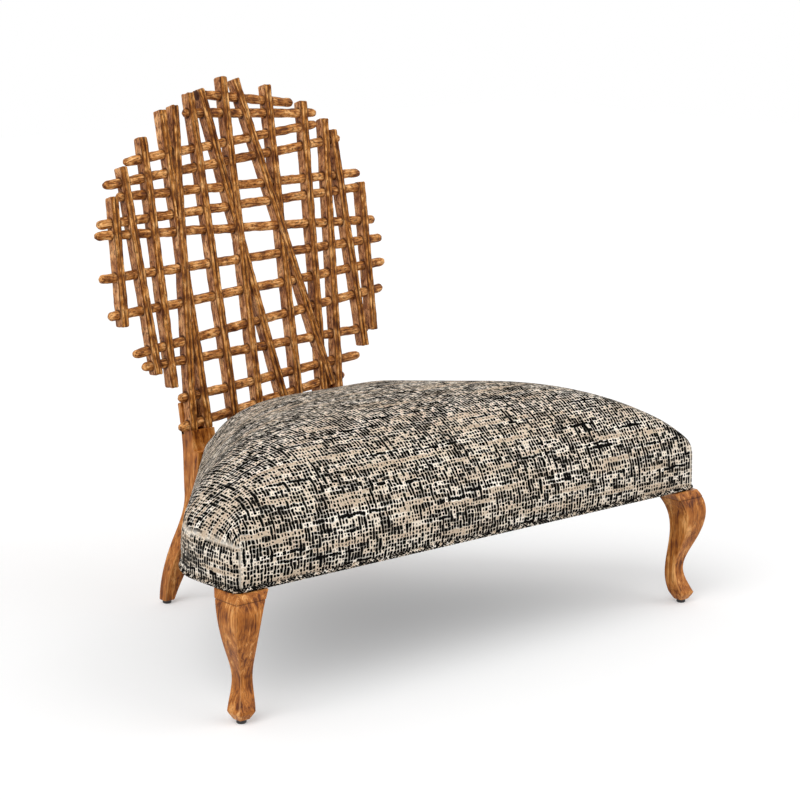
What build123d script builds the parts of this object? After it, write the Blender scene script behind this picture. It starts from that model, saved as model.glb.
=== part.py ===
from build123d import *
from math import atan2, cos, radians, sin, sqrt, tan
import os

# Twig-back slipper chair, in millimetres.
# +Z is up, the chair faces -Y, and the origin lies on the floor under its middle.

os.makedirs("parts", exist_ok=True)

# ---------------------------------------------------------------- driving sizes
# Seat
seat_width = 1156.0
seat_depth = 630.0
seat_front_y = -396.1
seat_base_z = 237.0
band_height = 81.0
crown_height = 148.0
end_length = 170.0
front_corner_radius = 14.0
end_corner_radius = 140.0
back_corner_radius = 30.0
low_edge_inset = 5.0
low_edge_height = 14.0
# how far in the crown lies at the front, the sides and the back, and the share of its rise
crown_profile = [
    (3, 3, 3, 0.10),
    (9, 10, 9, 0.17),
    (17, 20, 18, 0.24),
    (28, 38, 32, 0.345),
    (41, 58, 48, 0.45),
    (58, 90, 71, 0.575),
    (80, 128, 100, 0.70),
    (110, 175, 138, 0.81),
    (144, 231, 181, 0.89),
    (188, 301, 237, 0.955),
    (240, 384, 300, 1.0),
]

# Layers of the seat
cover_thickness = 3.0
cover_hem = 30.0
soft_clearance = 0.3
rail_thickness = 32.0
rail_height = 70.0
brace_thickness = 30.0
brace_height = 55.0
web_width = 50.0
web_thickness = 2.0
web_margin = 8.0
lengthwise_webs = 7
lengthwise_pitch = 150.0
crosswise_webs = 5
crosswise_pitch = 120.0
hessian_thickness = 1.0
welt_height = 5.0
welt_rounding = 1.5
dust_cover_thickness = 1.2
dust_cover_inset = 14.0

# Twig back
lattice_radius = 350.0
lattice_behind_seat = 20.42
lattice_above_band = 30.13
back_lean = 11.0
stick_width = 18.0
stick_depth = 25.0
bark_groove = 2.0
stick_end_slant = 14.0
rod_diameter = 19.0
rod_end_rounding = 5.5
rod_clearance = 0.15
lap_clearance = 0.2

# Rear posts and legs; the posts stand at a share of the lattice's radius, under its uprights
post_spread = 0.48857
post_width = 58.0
post_depth = 45.0
post_top_depth = 36.0
post_shoulder_drop = 11.5
tongue_length = 57.5
post_past_corner = 4.0
joint_clearance = 0.3
sweep_out = 52.0
sweep_back = 74.0

# Front legs
leg_inset_from_end = 19.0
leg_inset_from_front = 15.0
foot_half = 11.0
leg_notch_clearance = 2.0

# Glides
foot_z = 7.0
glide_diameter = 18.0
glide_pin_diameter = 3.0
glide_pin_length = 16.0
glide_chamfer = 1.5

# Fixings
leg_bolt_diameter = 10.0
leg_bolt_in_leg = 45.0
leg_bolt_in_rail = 26.0
leg_bolt_offset = 6.0
insert_diameter = 16.0
insert_length = 24.0
post_bolt_diameter = 8.0
post_bolt_head_diameter = 14.0
post_bolt_head_height = 7.0
post_bolt_head_depth = 36.0
post_bolt_spacing = 32.0
post_bolt_tail = 2.0
post_bolt_inset = 20.0
plug_diameter = 17.0
nut_width = 13.0
nut_height = 6.5
dowel_diameter = 8.0
dowel_length = 36.0
dowel_below_top = 12.0
screw_diameter = 4.0
screw_head_diameter = 8.0
screw_head_height = 3.0
screw_grip_in_stick = 15.0
fixing_clearance = 0.1

# ---------------------------------------------------------------- worked-out places
seat_half = seat_width / 2
seat_back_y = seat_front_y + seat_depth
seat_middle_y = seat_front_y + seat_depth / 2
band_top_z = seat_base_z + band_height
leg_axis_x = seat_half - leg_inset_from_end
leg_axis_y = seat_front_y + leg_inset_from_front
rail_base_z = seat_base_z + cover_thickness + soft_clearance
rail_top_z = rail_base_z + rail_height
rail_inset = cover_thickness + soft_clearance
deck_z = rail_top_z + 2 * web_thickness + hessian_thickness
post_outer_x = post_spread * lattice_radius + post_width / 2
post_inner_x = post_outer_x - post_width
post_bolt_x = post_inner_x + post_bolt_inset
back_corner_x = post_outer_x - post_past_corner
# how far the seat's sides turn in at its ends, and again at its back corners
end_turn = atan2(seat_half - back_corner_x, seat_depth - end_length)
back_turn = radians(90) - end_turn

# The plane of the sticks' front faces: x to the right, y up along the lean.
lattice_centre_y = seat_back_y + lattice_behind_seat + lattice_radius * sin(radians(back_lean))
lattice_centre_z = band_top_z + lattice_above_band + lattice_radius * cos(radians(back_lean))
lattice = Plane(
    origin=(0, lattice_centre_y, lattice_centre_z),
    x_dir=(1, 0, 0),
    z_dir=(0, -cos(radians(back_lean)), sin(radians(back_lean))),
)
post_shoulder_v = post_shoulder_drop - lattice_radius
tongue_top_v = post_shoulder_v + tongue_length


def side_point(depth, v):
    """(y, z) of a point that lies depth behind the sticks' front faces, v up the lean."""
    point = lattice.from_local_coords(Vector(0, v, -depth))
    return point.Y, point.Z


def v_at_height(depth, z):
    """How far up the lean a line that runs depth behind the front faces has the height z."""
    lean = radians(back_lean)
    return (z - lattice_centre_z + depth * sin(lean)) / cos(lean)


# ================================================================ seat
def rounded_plan(right, radii):
    """A plan that is symmetric about x = 0, from its right-hand corners and their radii."""
    left = [(-x, y) for x, y in reversed(right)]
    with BuildSketch() as plan:
        with BuildLine():
            Polyline(*right, *left, close=True)
        make_face()
        for (x, y), radius in zip(right, radii):
            pair = [v for v in plan.vertices() if abs(abs(v.X) - x) < 1e-3 and abs(v.Y - y) < 1e-3]
            if radius > 0:
                fillet(pair, radius)
    return plan.sketch


def seat_outline(inset):
    """Plan of the seat, drawn in by inset all round."""
    corners = [
        (seat_half - inset, seat_front_y + inset),
        (seat_half - inset, seat_front_y + end_length - inset * tan(end_turn / 2)),
        (back_corner_x - inset * tan(back_turn / 2), seat_back_y - inset),
    ]
    radii = [front_corner_radius - inset, end_corner_radius - inset, back_corner_radius - inset]
    return rounded_plan(corners, radii)


def crown_outline(front, side, back):
    """Plan of the crown at one height, drawn in by other amounts at front, sides and back."""
    shrink_x = (seat_half - side) / seat_half
    shrink_y = (seat_depth - front - back) / seat_depth
    corners = [
        (seat_half * shrink_x, seat_front_y + front),
        (seat_half * shrink_x, seat_front_y + front + end_length * shrink_y),
        (back_corner_x * shrink_x, seat_back_y - back),
    ]
    radii = [front_corner_radius, end_corner_radius, back_corner_radius]
    return rounded_plan(corners, [radius * shrink_y for radius in radii])


def seat_form(thinner):
    """The upholstered seat's solid, thinner all over by the given amount."""
    band = [
        (low_edge_inset, seat_base_z + thinner),
        (0, seat_base_z + low_edge_height),
        (0, band_top_z),
    ]
    with BuildPart() as form:
        for inset, z in band:
            with BuildSketch(Plane.XY.offset(z)):
                add(seat_outline(inset + thinner))
        for front, side, back, rise in crown_profile:
            with BuildSketch(Plane.XY.offset(band_top_z + rise * (crown_height - thinner))):
                add(crown_outline(front + thinner, side + thinner, back + thinner))
        loft(ruled=True)
    return form.part


with BuildPart() as seat_cover:
    add(seat_form(0))
    add(seat_form(cover_thickness), mode=Mode.SUBTRACT)
    # the cover is turned under and tacked, so only a hem covers the underside
    with BuildSketch(Plane.XY.offset(seat_base_z - soft_clearance)):
        add(seat_outline(cover_hem))
    extrude(amount=cover_thickness + 2 * soft_clearance, mode=Mode.SUBTRACT)

with BuildPart() as seat_foam:
    add(seat_form(cover_thickness + soft_clearance))
    split(bisect_by=Plane.XY.offset(deck_z), keep=Keep.TOP)

# The welt's cord sits in the step that the drawn-in low edge leaves.
welt_inner = low_edge_inset * (1 - welt_height / low_edge_height) - soft_clearance
with BuildPart() as bottom_welt:
    with BuildSketch(Plane.XY.offset(seat_base_z)):
        add(seat_outline(0))
        add(seat_outline(welt_inner), mode=Mode.SUBTRACT)
    extrude(amount=welt_height)
    fillet(bottom_welt.faces().sort_by(Axis.Z)[0].outer_wire().edges(), welt_rounding)

# ---------------------------------------------------------------- seat frame
with BuildPart() as frame_ring:
    with BuildSketch(Plane.XY.offset(rail_base_z)):
        add(seat_outline(rail_inset + low_edge_inset))
        add(seat_outline(rail_inset + low_edge_inset + rail_thickness), mode=Mode.SUBTRACT)
    extrude(amount=rail_height)

rail_outer_x = seat_half - rail_inset - low_edge_inset
rail_middle_x = rail_outer_x - rail_thickness / 2
front_rail_y = seat_front_y + rail_inset + low_edge_inset + rail_thickness / 2
front_rail_back_y = front_rail_y + rail_thickness / 2
back_rail_y = seat_back_y - rail_inset - low_edge_inset - rail_thickness / 2
back_rail_front_y = back_rail_y - rail_thickness / 2
# the end rail stops where the seat's end begins to turn
end_rail_back_y = seat_front_y + end_length - end_corner_radius * tan(end_turn / 2)
middle_z = rail_base_z + rail_height / 2


def ring_piece(low, high):
    """The part of the frame's ring between two corners given as (x, y)."""
    with BuildPart() as piece:
        add(frame_ring.part)
        with Locations(((low[0] + high[0]) / 2, (low[1] + high[1]) / 2, middle_z)):
            Box(high[0] - low[0], high[1] - low[1], rail_height, mode=Mode.INTERSECT)
    return piece.part


def along_y(x, y, z):
    """A plane that faces +Y, for what is bored or laid front to back."""
    return Plane(origin=(x, y, z), x_dir=(1, 0, 0), z_dir=(0, 1, 0))


dowel_heights = [rail_base_z + leg_bolt_in_rail + dowel_diameter, rail_top_z - dowel_below_top]
dowel_spots = [
    (side * rail_middle_x, y, z)
    for side in (-1, 1)
    for y in (front_rail_back_y, end_rail_back_y)
    for z in dowel_heights
]
brace_rise = (rail_height - brace_height) / 2


def dowel_rods(clearance):
    with BuildPart() as rods:
        for x, y, z in dowel_spots:
            with BuildSketch(along_y(x, y, z)):
                Circle(dowel_diameter / 2 + clearance)
            extrude(amount=dowel_length / 2 + clearance, both=True)
    return rods.part


dowel_holes = dowel_rods(fixing_clearance)

with BuildPart() as frame_dowels:
    add(dowel_rods(0))

# Rear posts are bolted to the back rail, at two heights on each side.
post_bolt_heights = [middle_z - post_bolt_spacing / 2, middle_z + post_bolt_spacing / 2]
post_bolt_spots = [(side * post_bolt_x, z) for side in (-1, 1) for z in post_bolt_heights]
post_bolt_end_y = back_rail_front_y - nut_height - post_bolt_tail
bolt_head_y = seat_back_y + post_bolt_head_depth


def bolt_shanks(clearance):
    with BuildPart() as shanks:
        for x, z in post_bolt_spots:
            with BuildSketch(along_y(x, post_bolt_end_y, z)):
                Circle(post_bolt_diameter / 2 + clearance)
            extrude(amount=bolt_head_y - post_bolt_end_y)
    return shanks.part


shank_holes = bolt_shanks(fixing_clearance)

# Front legs hang on a threaded rod that runs up into an insert in the front rail.
leg_bolt_spots = [(side * (leg_axis_x - leg_bolt_offset), front_rail_y) for side in (-1, 1)]

with BuildPart() as front_rail:
    add(ring_piece((-seat_half, seat_front_y), (seat_half, front_rail_back_y)))
    add(dowel_holes, mode=Mode.SUBTRACT)
    with BuildSketch(Plane.XY.offset(rail_base_z)):
        with Locations(*leg_bolt_spots):
            Circle(insert_diameter / 2 + fixing_clearance)
    extrude(amount=insert_length + fixing_clearance, mode=Mode.SUBTRACT)
    with BuildSketch(Plane.XY.offset(rail_base_z)):
        with Locations(*leg_bolt_spots):
            Circle(leg_bolt_diameter / 2 + fixing_clearance)
    extrude(amount=leg_bolt_in_rail + fixing_clearance, mode=Mode.SUBTRACT)

with BuildPart() as back_rail:
    add(ring_piece((-back_corner_x, back_rail_front_y - rail_thickness), (back_corner_x, seat_back_y)))
    add(shank_holes, mode=Mode.SUBTRACT)

end_rails = {}
side_rails = {}
for side, name in ((-1, "left"), (1, "right")):
    low_x, high_x = sorted((side * (rail_outer_x - 2 * rail_thickness), side * seat_half))
    with BuildPart() as end_rail:
        add(ring_piece((low_x, front_rail_back_y), (high_x, end_rail_back_y)))
        add(dowel_holes, mode=Mode.SUBTRACT)
    end_rails[name] = end_rail
    low_x, high_x = sorted((side * back_corner_x, side * seat_half))
    with BuildPart() as side_rail:
        add(ring_piece((low_x, end_rail_back_y), (high_x, seat_back_y)))
        add(dowel_holes, mode=Mode.SUBTRACT)
    side_rails[name] = side_rail

brace_length = back_rail_front_y - front_rail_back_y
with BuildPart() as centre_brace:
    with Locations((0, front_rail_back_y + brace_length / 2, rail_base_z + brace_rise + brace_height / 2)):
        Box(brace_thickness, brace_length, brace_height)

# ---------------------------------------------------------------- webbing and hessian
with BuildPart() as webbing_crosswise:
    with BuildSketch(Plane.XY.offset(rail_top_z)):
        add(seat_outline(rail_inset + low_edge_inset + web_margin))
    extrude(amount=web_thickness)
    with Locations((0, seat_middle_y, rail_top_z)):
        with GridLocations(0, crosswise_pitch, 1, crosswise_webs):
            Box(seat_width, web_width, web_thickness, mode=Mode.INTERSECT,
                align=(Align.CENTER, Align.CENTER, Align.MIN))

with BuildPart() as webbing_lengthwise:
    with BuildSketch(Plane.XY.offset(rail_top_z + web_thickness)):
        add(seat_outline(rail_inset + low_edge_inset + web_margin))
    extrude(amount=web_thickness)
    with Locations((0, seat_middle_y, rail_top_z + web_thickness)):
        with GridLocations(lengthwise_pitch, 0, lengthwise_webs, 1):
            Box(web_width, seat_depth, web_thickness, mode=Mode.INTERSECT,
                align=(Align.CENTER, Align.CENTER, Align.MIN))

with BuildPart() as hessian_deck:
    with BuildSketch(Plane.XY.offset(rail_top_z + 2 * web_thickness)):
        add(seat_outline(rail_inset + low_edge_inset))
    extrude(amount=hessian_thickness)

# ================================================================ twig back
# Each stick is a straight line in the lattice's plane: how far it passes from the centre,
# as a share of the radius, its lean in degrees, and how far its two ends pass the disc's edge.
uprights = {
    1: (-0.8971, 3.2, -12, -9),
    2: (-0.7629, -2.7, -9, -13),
    3: (-0.6343, 0.3, -13, -16),
    4: (-0.4571, -1.2, -2, 0),
    5: (-0.4600, 4.9, -9, 0),
    6: (-0.2514, -0.8, -1, -4),
    7: (-0.0200, -9.7, -1, -2),
    8: (-0.0400, 1.1, 15, 0),
    9: (0.2971, -13.0, 10, -9),
    10: (0.2657, 1.7, 8, -4),
    11: (0.4886, 3.9, 10, -2),
    12: (0.6257, 5.2, 10, 0),
    13: (0.7686, -1.8, 5, 5),
    14: (0.9000, 2.9, -5, 11),
}
# Rods are given the same way: height above the centre, tilt, left end and right end.
rods = {
    1: (0.9171, -7.3, -11, -4),
    2: (0.8286, -3.2, -33, 9),
    3: (0.6629, 5.5, -11, -10),
    4: (0.5543, 5.3, 13, 9),
    5: (0.4057, 0.4, -22, 6),
    6: (0.2914, 2.1, 11, -4),
    7: (0.1571, -2.1, 14, 3),
    8: (-0.0229, 1.5, 11, 13),
    9: (-0.2029, 3.4, 13, 16),
    10: (-0.3971, 5.9, 0, 13),
    11: (-0.5486, 1.4, 0, -2),
    12: (-0.7343, 4.0, -5, 5),
    13: (-0.8600, 7.1, 47, 0),
}
# Uprights that cross are halved into each other: (the front one, the back one).
halved_pairs = [(5, 4), (8, 7), (9, 10), (9, 11)]
# Uprights that stand on a rear post's shoulder instead of ending at the disc's edge.
on_posts = [4, 5, 12]


class Stick:
    """A straight stick: along is its direction in the lattice's plane, across is its right."""

    def __init__(self, offset, along, across, low_reach, high_reach):
        self.offset, self.along, self.across = offset, along, across
        self.low = -self.half_chord(low_reach)
        self.high = self.half_chord(high_reach)

    def half_chord(self, reach):
        return sqrt((lattice_radius + reach) ** 2 - self.offset**2)

    def local(self, distance, depth):
        """The point at a distance along the stick, depth behind the front faces."""
        x = self.offset * self.across[0] + distance * self.along[0]
        v = self.offset * self.across[1] + distance * self.along[1]
        return lattice.from_local_coords(Vector(x, v, -depth))

    def distance_at(self, v):
        """The distance along the stick at which its middle has the height v."""
        return (v - self.offset * self.across[1]) / self.along[1]

    def plane(self, distance, depth=stick_depth / 2, slant=0.0):
        """The stick's cross-section plane, its normal tipped back by slant degrees."""
        along = lattice.x_dir * self.along[0] + lattice.y_dir * self.along[1]
        across = lattice.x_dir * self.across[0] + lattice.y_dir * self.across[1]
        normal = along * cos(radians(slant)) - lattice.z_dir * sin(radians(slant))
        return Plane(origin=self.local(distance, depth), x_dir=across, z_dir=normal)


def upright_stick(number):
    share, lean, high_reach, low_reach = uprights[number]
    along = (sin(radians(lean)), cos(radians(lean)))
    stick = Stick(share * lattice_radius, along, (along[1], -along[0]), low_reach, high_reach)
    if number in on_posts:
        stick.low = stick.distance_at(post_shoulder_v + joint_clearance)
    return stick


def rod_stick(number):
    share, tilt, low_reach, high_reach = rods[number]
    along = (cos(radians(tilt)), sin(radians(tilt)))
    return Stick(share * lattice_radius, along, (-along[1], along[0]), low_reach, high_reach)


def rod_solid(number, clearance=0.0):
    stick = rod_stick(number)
    with BuildPart() as rod:
        with BuildSketch(stick.plane(stick.low)):
            Circle(rod_diameter / 2 + clearance)
        extrude(amount=stick.high - stick.low)
        if clearance == 0:
            fillet(rod.edges().filter_by(GeomType.CIRCLE), rod_end_rounding)
    return rod.part


def half_of_upright(number, front):
    """The space that the front or the back half of an upright takes, with the lap's clearance."""
    stick = upright_stick(number)
    depth = stick_depth / 4 - lap_clearance / 2 if front else stick_depth * 3 / 4 + lap_clearance / 2
    with BuildPart() as half:
        with BuildSketch(stick.plane(stick.low - stick_depth, depth)):
            Rectangle(stick_width + 2 * lap_clearance, stick_depth / 2 + 2 * lap_clearance)
        extrude(amount=stick.high - stick.low + 2 * stick_depth)
    return half.part


def bark_section():
    """Cross-section of an upright: flat back and sides, and a ridged bark face in front."""
    half_width, front, back = stick_width / 2, -stick_depth / 2, stick_depth / 2
    with BuildSketch(mode=Mode.PRIVATE) as section:
        with BuildLine():
            Polyline(
                (-half_width, back),
                (half_width, back),
                (half_width, front + 2 * bark_groove),
                (half_width * 0.6, front),
                (half_width * 0.1, front + bark_groove),
                (-half_width * 0.35, front),
                (-half_width, front + 2 * bark_groove),
                close=True,
            )
        make_face()
    return section.sketch


rod_holes = {number: rod_solid(number, rod_clearance) for number in rods}
shoulder_plane = Plane(
    origin=lattice.from_local_coords(Vector(0, post_shoulder_v + joint_clearance, 0)),
    x_dir=lattice.x_dir,
    z_dir=lattice.y_dir,
)


def upright_solid(number):
    stick = upright_stick(number)
    spare = stick_depth / 2
    low_plane = shoulder_plane if number in on_posts else stick.plane(stick.low, 0, -stick_end_slant)
    with BuildPart() as bar:
        with BuildSketch(stick.plane(stick.low - spare)):
            add(bark_section())
        extrude(amount=stick.high - stick.low + 2 * spare)
        split(bisect_by=stick.plane(stick.high, 0, stick_end_slant), keep=Keep.BOTTOM)
        split(bisect_by=low_plane, keep=Keep.TOP)
        for front, back in halved_pairs:
            if number == front:
                add(half_of_upright(back, front=False), mode=Mode.SUBTRACT)
            if number == back:
                add(half_of_upright(front, front=True), mode=Mode.SUBTRACT)
        for hole in rod_holes.values():
            if hole.bounding_box().overlaps(bar.part.bounding_box()):
                add(hole, mode=Mode.SUBTRACT)
    return bar.part


# ================================================================ rear posts and legs
def leg_height(share):
    """The height at a share of the way from the foot to the seat's underside."""
    return foot_z + share * (seat_base_z - foot_z)


def lean_back_y(z):
    """Where the post's back would be at the height z if it ran on straight."""
    return side_point(post_depth, v_at_height(post_depth, z))[0]


# Share of the leg's height, shares of its sweep out and back, its width and its depth.
sabre = [
    (1.0, 0.10, 0.0, 55, 45),
    (0.80, 0.27, 0.06, 54, 41),
    (0.535, 0.615, 0.405, 50, 35),
    (0.274, 0.865, 0.757, 42, 29),
    (0.0, 1.0, 1.0, 24, 24),
]
rear_outer = [(post_outer_x + sweep_out * out, leg_height(share)) for share, out, back, width, depth in sabre]
rear_inner = [(x - row[3], z) for (x, z), row in zip(rear_outer, sabre)]
rear_back = [
    (lean_back_y(leg_height(share)) + sweep_back * back, leg_height(share))
    for share, out, back, width, depth in sabre
]
rear_front = [(y - row[4], z) for (y, z), row in zip(rear_back, sabre)]
rear_foot = ((rear_outer[-1][0] + rear_inner[-1][0]) / 2, (rear_back[-1][0] + rear_front[-1][0]) / 2)
landing_y = seat_back_y + soft_clearance
rear_front[0] = (landing_y, seat_base_z)
tongue_depth = stick_depth + joint_clearance
tongue_top_z = side_point(0, tongue_top_v)[1]

with BuildPart() as post_blank:
    # seen from the side
    with BuildSketch(Plane.YZ):
        with BuildLine():
            Polyline(
                (landing_y, seat_base_z),
                (landing_y, band_top_z),
                side_point(0, v_at_height(0, band_top_z)),
                side_point(0, post_shoulder_v),
                side_point(tongue_depth, post_shoulder_v),
                side_point(tongue_depth, tongue_top_v),
                side_point(post_top_depth, tongue_top_v),
                side_point(post_top_depth, post_shoulder_v),
                rear_back[0],
            )
            Spline(rear_back)
            Line(rear_back[-1], rear_front[-1])
            Spline(list(reversed(rear_front)))
        make_face()
    extrude(amount=post_outer_x + 2 * sweep_out)
    # and cut to its shape seen from the front
    with BuildSketch(Plane.XZ):
        with BuildLine():
            Polyline(
                rear_outer[0],
                (post_outer_x, band_top_z),
                (post_outer_x, tongue_top_z + post_depth),
                (post_inner_x, tongue_top_z + post_depth),
                (post_inner_x, band_top_z),
                rear_inner[0],
            )
            Spline(rear_inner)
            Line(rear_inner[-1], rear_outer[-1])
            Spline(list(reversed(rear_outer)))
        make_face()
    extrude(amount=-seat_depth, mode=Mode.INTERSECT)


def glide_pin_holes(spots):
    with BuildPart() as holes:
        with BuildSketch(Plane.XY.offset(foot_z)):
            with Locations(*spots):
                Circle(glide_pin_diameter / 2 + fixing_clearance)
        extrude(amount=glide_pin_length + fixing_clearance)
    return holes.part


def post_cylinders(diameter, from_y, to_y):
    """Round bars along Y at the right-hand post's bolts."""
    with BuildPart() as bars:
        for z in post_bolt_heights:
            with BuildSketch(along_y(post_bolt_x, from_y, z)):
                Circle(diameter / 2)
            extrude(amount=to_y - from_y)
    return bars.part


plug_front_y = bolt_head_y + post_bolt_head_height + fixing_clearance
counterbores = post_cylinders(plug_diameter, bolt_head_y, seat_back_y + 2 * post_depth)
# How far below the tongue's top each upright that stands on a post has its screws.
screw_drops = {4: [17.0], 5: [17.0], 12: [21.0, 39.0]}
screw_spots = [(number, drop) for number, drops in screw_drops.items() for drop in drops]


def screw_plane(number, v):
    """A plane at the tongue's back that faces backwards, over an upright's middle."""
    stick = upright_stick(number)
    return Plane(
        origin=stick.local(stick.distance_at(v), post_top_depth),
        x_dir=lattice.x_dir,
        z_dir=-lattice.z_dir,
    )


def screw_bars(clearance):
    """The screws that hold the lattice's uprights to the posts' tongues."""
    grip = post_top_depth - stick_depth + screw_grip_in_stick
    with BuildPart() as bars:
        for number, drop in screw_spots:
            with BuildSketch(screw_plane(number, tongue_top_v - drop)):
                Circle(screw_diameter / 2 + clearance)
            extrude(amount=-grip - clearance)
            with BuildSketch(screw_plane(number, tongue_top_v - drop)):
                Circle(screw_head_diameter / 2 + clearance)
            extrude(amount=-screw_head_height - clearance)
    return bars.part


screw_holes = screw_bars(fixing_clearance)

rear_legs = {}
for side, name in ((-1, "left"), (1, "right")):
    with BuildPart() as rear_leg:
        add(post_blank.part)
        add(counterbores, mode=Mode.SUBTRACT)
        add(glide_pin_holes([rear_foot]), mode=Mode.SUBTRACT)
        if side < 0:
            mirror(about=Plane.YZ, mode=Mode.REPLACE)
        add(shank_holes, mode=Mode.SUBTRACT)
        add(screw_holes, mode=Mode.SUBTRACT)
    rear_legs[name] = rear_leg

with BuildPart() as post_bolts:
    add(bolt_shanks(0))
    add(post_cylinders(post_bolt_head_diameter, bolt_head_y, bolt_head_y + post_bolt_head_height))
    mirror(about=Plane.YZ)

with BuildPart() as post_nuts:
    for x, z in post_bolt_spots:
        with BuildSketch(along_y(x, back_rail_front_y - nut_height, z)):
            RegularPolygon(nut_width / 2, 6, major_radius=False)
            Circle(post_bolt_diameter / 2 + fixing_clearance, mode=Mode.SUBTRACT)
        extrude(amount=nut_height)

with BuildPart() as bolt_plugs:
    add(post_cylinders(plug_diameter - 2 * fixing_clearance, plug_front_y, seat_back_y + 2 * post_depth))
    add(post_blank.part, mode=Mode.INTERSECT)
    mirror(about=Plane.YZ)

with BuildPart() as lattice_screws:
    add(screw_bars(0))

# ================================================================ front legs
# How far the bandsawn curve stands out from the leg's axis, and in from it, at shares of
# the leg's height.
knee_and_toe = [(19, 1.0), (33, 0.80), (19, 0.535), (2.5, 0.274), (15, 0.10), (19, 0.061)]
back_of_knee = [(48, 1.0), (23, 0.80), (19, 0.622), (25, 0.252), (19, 0.065)]

def leg_profile():
    """The cabriole curve, drawn with x pointing outwards from the leg's axis and y up."""
    outer = [(out, leg_height(share)) for out, share in knee_and_toe]
    inner = [(-inward, leg_height(share)) for inward, share in reversed(back_of_knee)]
    with BuildSketch() as profile:
        with BuildLine():
            Spline(outer)
            Polyline(outer[-1], (foot_half, foot_z), (-foot_half, foot_z), inner[0])
            Spline(inner)
            Line(inner[-1], outer[0])
        make_face()
    return profile.sketch


front_view = Plane(origin=(leg_axis_x, seat_middle_y, 0), x_dir=(1, 0, 0), z_dir=(0, -1, 0))
end_view = Plane(origin=(seat_width, leg_axis_y, 0), x_dir=(0, -1, 0), z_dir=(-1, 0, 0))

with BuildPart() as leg_blank:
    with BuildSketch(front_view):
        add(leg_profile())
    extrude(amount=seat_depth)
    with BuildSketch(end_view):
        add(leg_profile())
    extrude(amount=seat_width, mode=Mode.INTERSECT)


def leg_bolt_rods(clearance):
    with BuildPart() as rods:
        with BuildSketch(Plane.XY.offset(seat_base_z - leg_bolt_in_leg - clearance)):
            with Locations(*leg_bolt_spots):
                Circle(leg_bolt_diameter / 2 + clearance)
        extrude(amount=leg_bolt_in_leg + rail_base_z - seat_base_z + leg_bolt_in_rail + 2 * clearance)
    return rods.part


leg_bolt_holes = leg_bolt_rods(fixing_clearance)

front_legs = {}
for side, name in ((-1, "left"), (1, "right")):
    with BuildPart() as front_leg:
        add(leg_blank.part)
        add(glide_pin_holes([(leg_axis_x, leg_axis_y)]), mode=Mode.SUBTRACT)
        if side < 0:
            mirror(about=Plane.YZ, mode=Mode.REPLACE)
        add(leg_bolt_holes, mode=Mode.SUBTRACT)
    front_legs[name] = front_leg

with BuildPart() as front_leg_bolts:
    add(leg_bolt_rods(0))

with BuildPart() as front_leg_inserts:
    with BuildSketch(Plane.XY.offset(rail_base_z)):
        with Locations(*leg_bolt_spots):
            Circle(insert_diameter / 2)
            Circle(leg_bolt_diameter / 2 + fixing_clearance, mode=Mode.SUBTRACT)
    extrude(amount=insert_length)

# ---------------------------------------------------------------- glides
glide_spots = [
    (side * x, y) for side in (-1, 1) for x, y in ((leg_axis_x, leg_axis_y), rear_foot)
]
with BuildPart() as glides:
    with BuildSketch():
        with Locations(*glide_spots):
            Circle(glide_diameter / 2)
    extrude(amount=foot_z)
    chamfer(glides.faces().group_by(Axis.Z)[0].edges(), glide_chamfer)
    with BuildSketch(Plane.XY.offset(foot_z)):
        with Locations(*glide_spots):
            Circle(glide_pin_diameter / 2)
    extrude(amount=glide_pin_length)

# ---------------------------------------------------------------- what the fixings pass through
leg_notch = back_of_knee[0][0] + leg_notch_clearance
with BuildPart() as dust_cover:
    with BuildSketch(Plane.XY.offset(seat_base_z - dust_cover_thickness)):
        add(seat_outline(dust_cover_inset))
        with Locations(*[(side * leg_axis_x, leg_axis_y) for side in (-1, 1)]):
            Rectangle(2 * leg_notch, 2 * leg_notch, mode=Mode.SUBTRACT)
    extrude(amount=dust_cover_thickness)

padding_base_z = seat_base_z + low_edge_height
with BuildPart() as band_padding:
    with BuildSketch(Plane.XY.offset(padding_base_z)):
        add(seat_outline(cover_thickness + soft_clearance))
        add(seat_outline(rail_inset + low_edge_inset), mode=Mode.SUBTRACT)
    extrude(amount=rail_top_z - padding_base_z)
    add(shank_holes, mode=Mode.SUBTRACT)

with BuildPart() as cover_with_holes:
    add(seat_cover.part)
    add(shank_holes, mode=Mode.SUBTRACT)
    add(leg_bolt_holes, mode=Mode.SUBTRACT)

# ================================================================ write the pieces
pieces = {
    "seat_cover": cover_with_holes,
    "seat_foam": seat_foam,
    "bottom_welt": bottom_welt,
    "band_padding": band_padding,
    "dust_cover": dust_cover,
    "hessian_deck": hessian_deck,
    "webbing_lengthwise": webbing_lengthwise,
    "webbing_crosswise": webbing_crosswise,
    "front_rail": front_rail,
    "back_rail": back_rail,
    "centre_brace": centre_brace,
    "frame_dowels": frame_dowels,
    "glides": glides,
    "front_leg_bolts": front_leg_bolts,
    "front_leg_inserts": front_leg_inserts,
    "post_bolts": post_bolts,
    "post_nuts": post_nuts,
    "bolt_plugs": bolt_plugs,
    "lattice_screws": lattice_screws,
}
for side in ("left", "right"):
    pieces[f"end_rail_{side}"] = end_rails[side]
    pieces[f"side_rail_{side}"] = side_rails[side]
    pieces[f"front_leg_{side}"] = front_legs[side]
    pieces[f"rear_leg_{side}"] = rear_legs[side]

for number in uprights:
    with BuildPart() as upright:
        add(upright_solid(number))
        if number in screw_drops:
            add(screw_holes, mode=Mode.SUBTRACT)
    pieces[f"upright_{number:02d}"] = upright

for number in rods:
    with BuildPart() as rod:
        add(rod_solid(number))
    pieces[f"rod_{number:02d}"] = rod

for name, piece in pieces.items():
    piece.part.label = name
    export_step(piece.part, f"parts/{name}.step")
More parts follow.
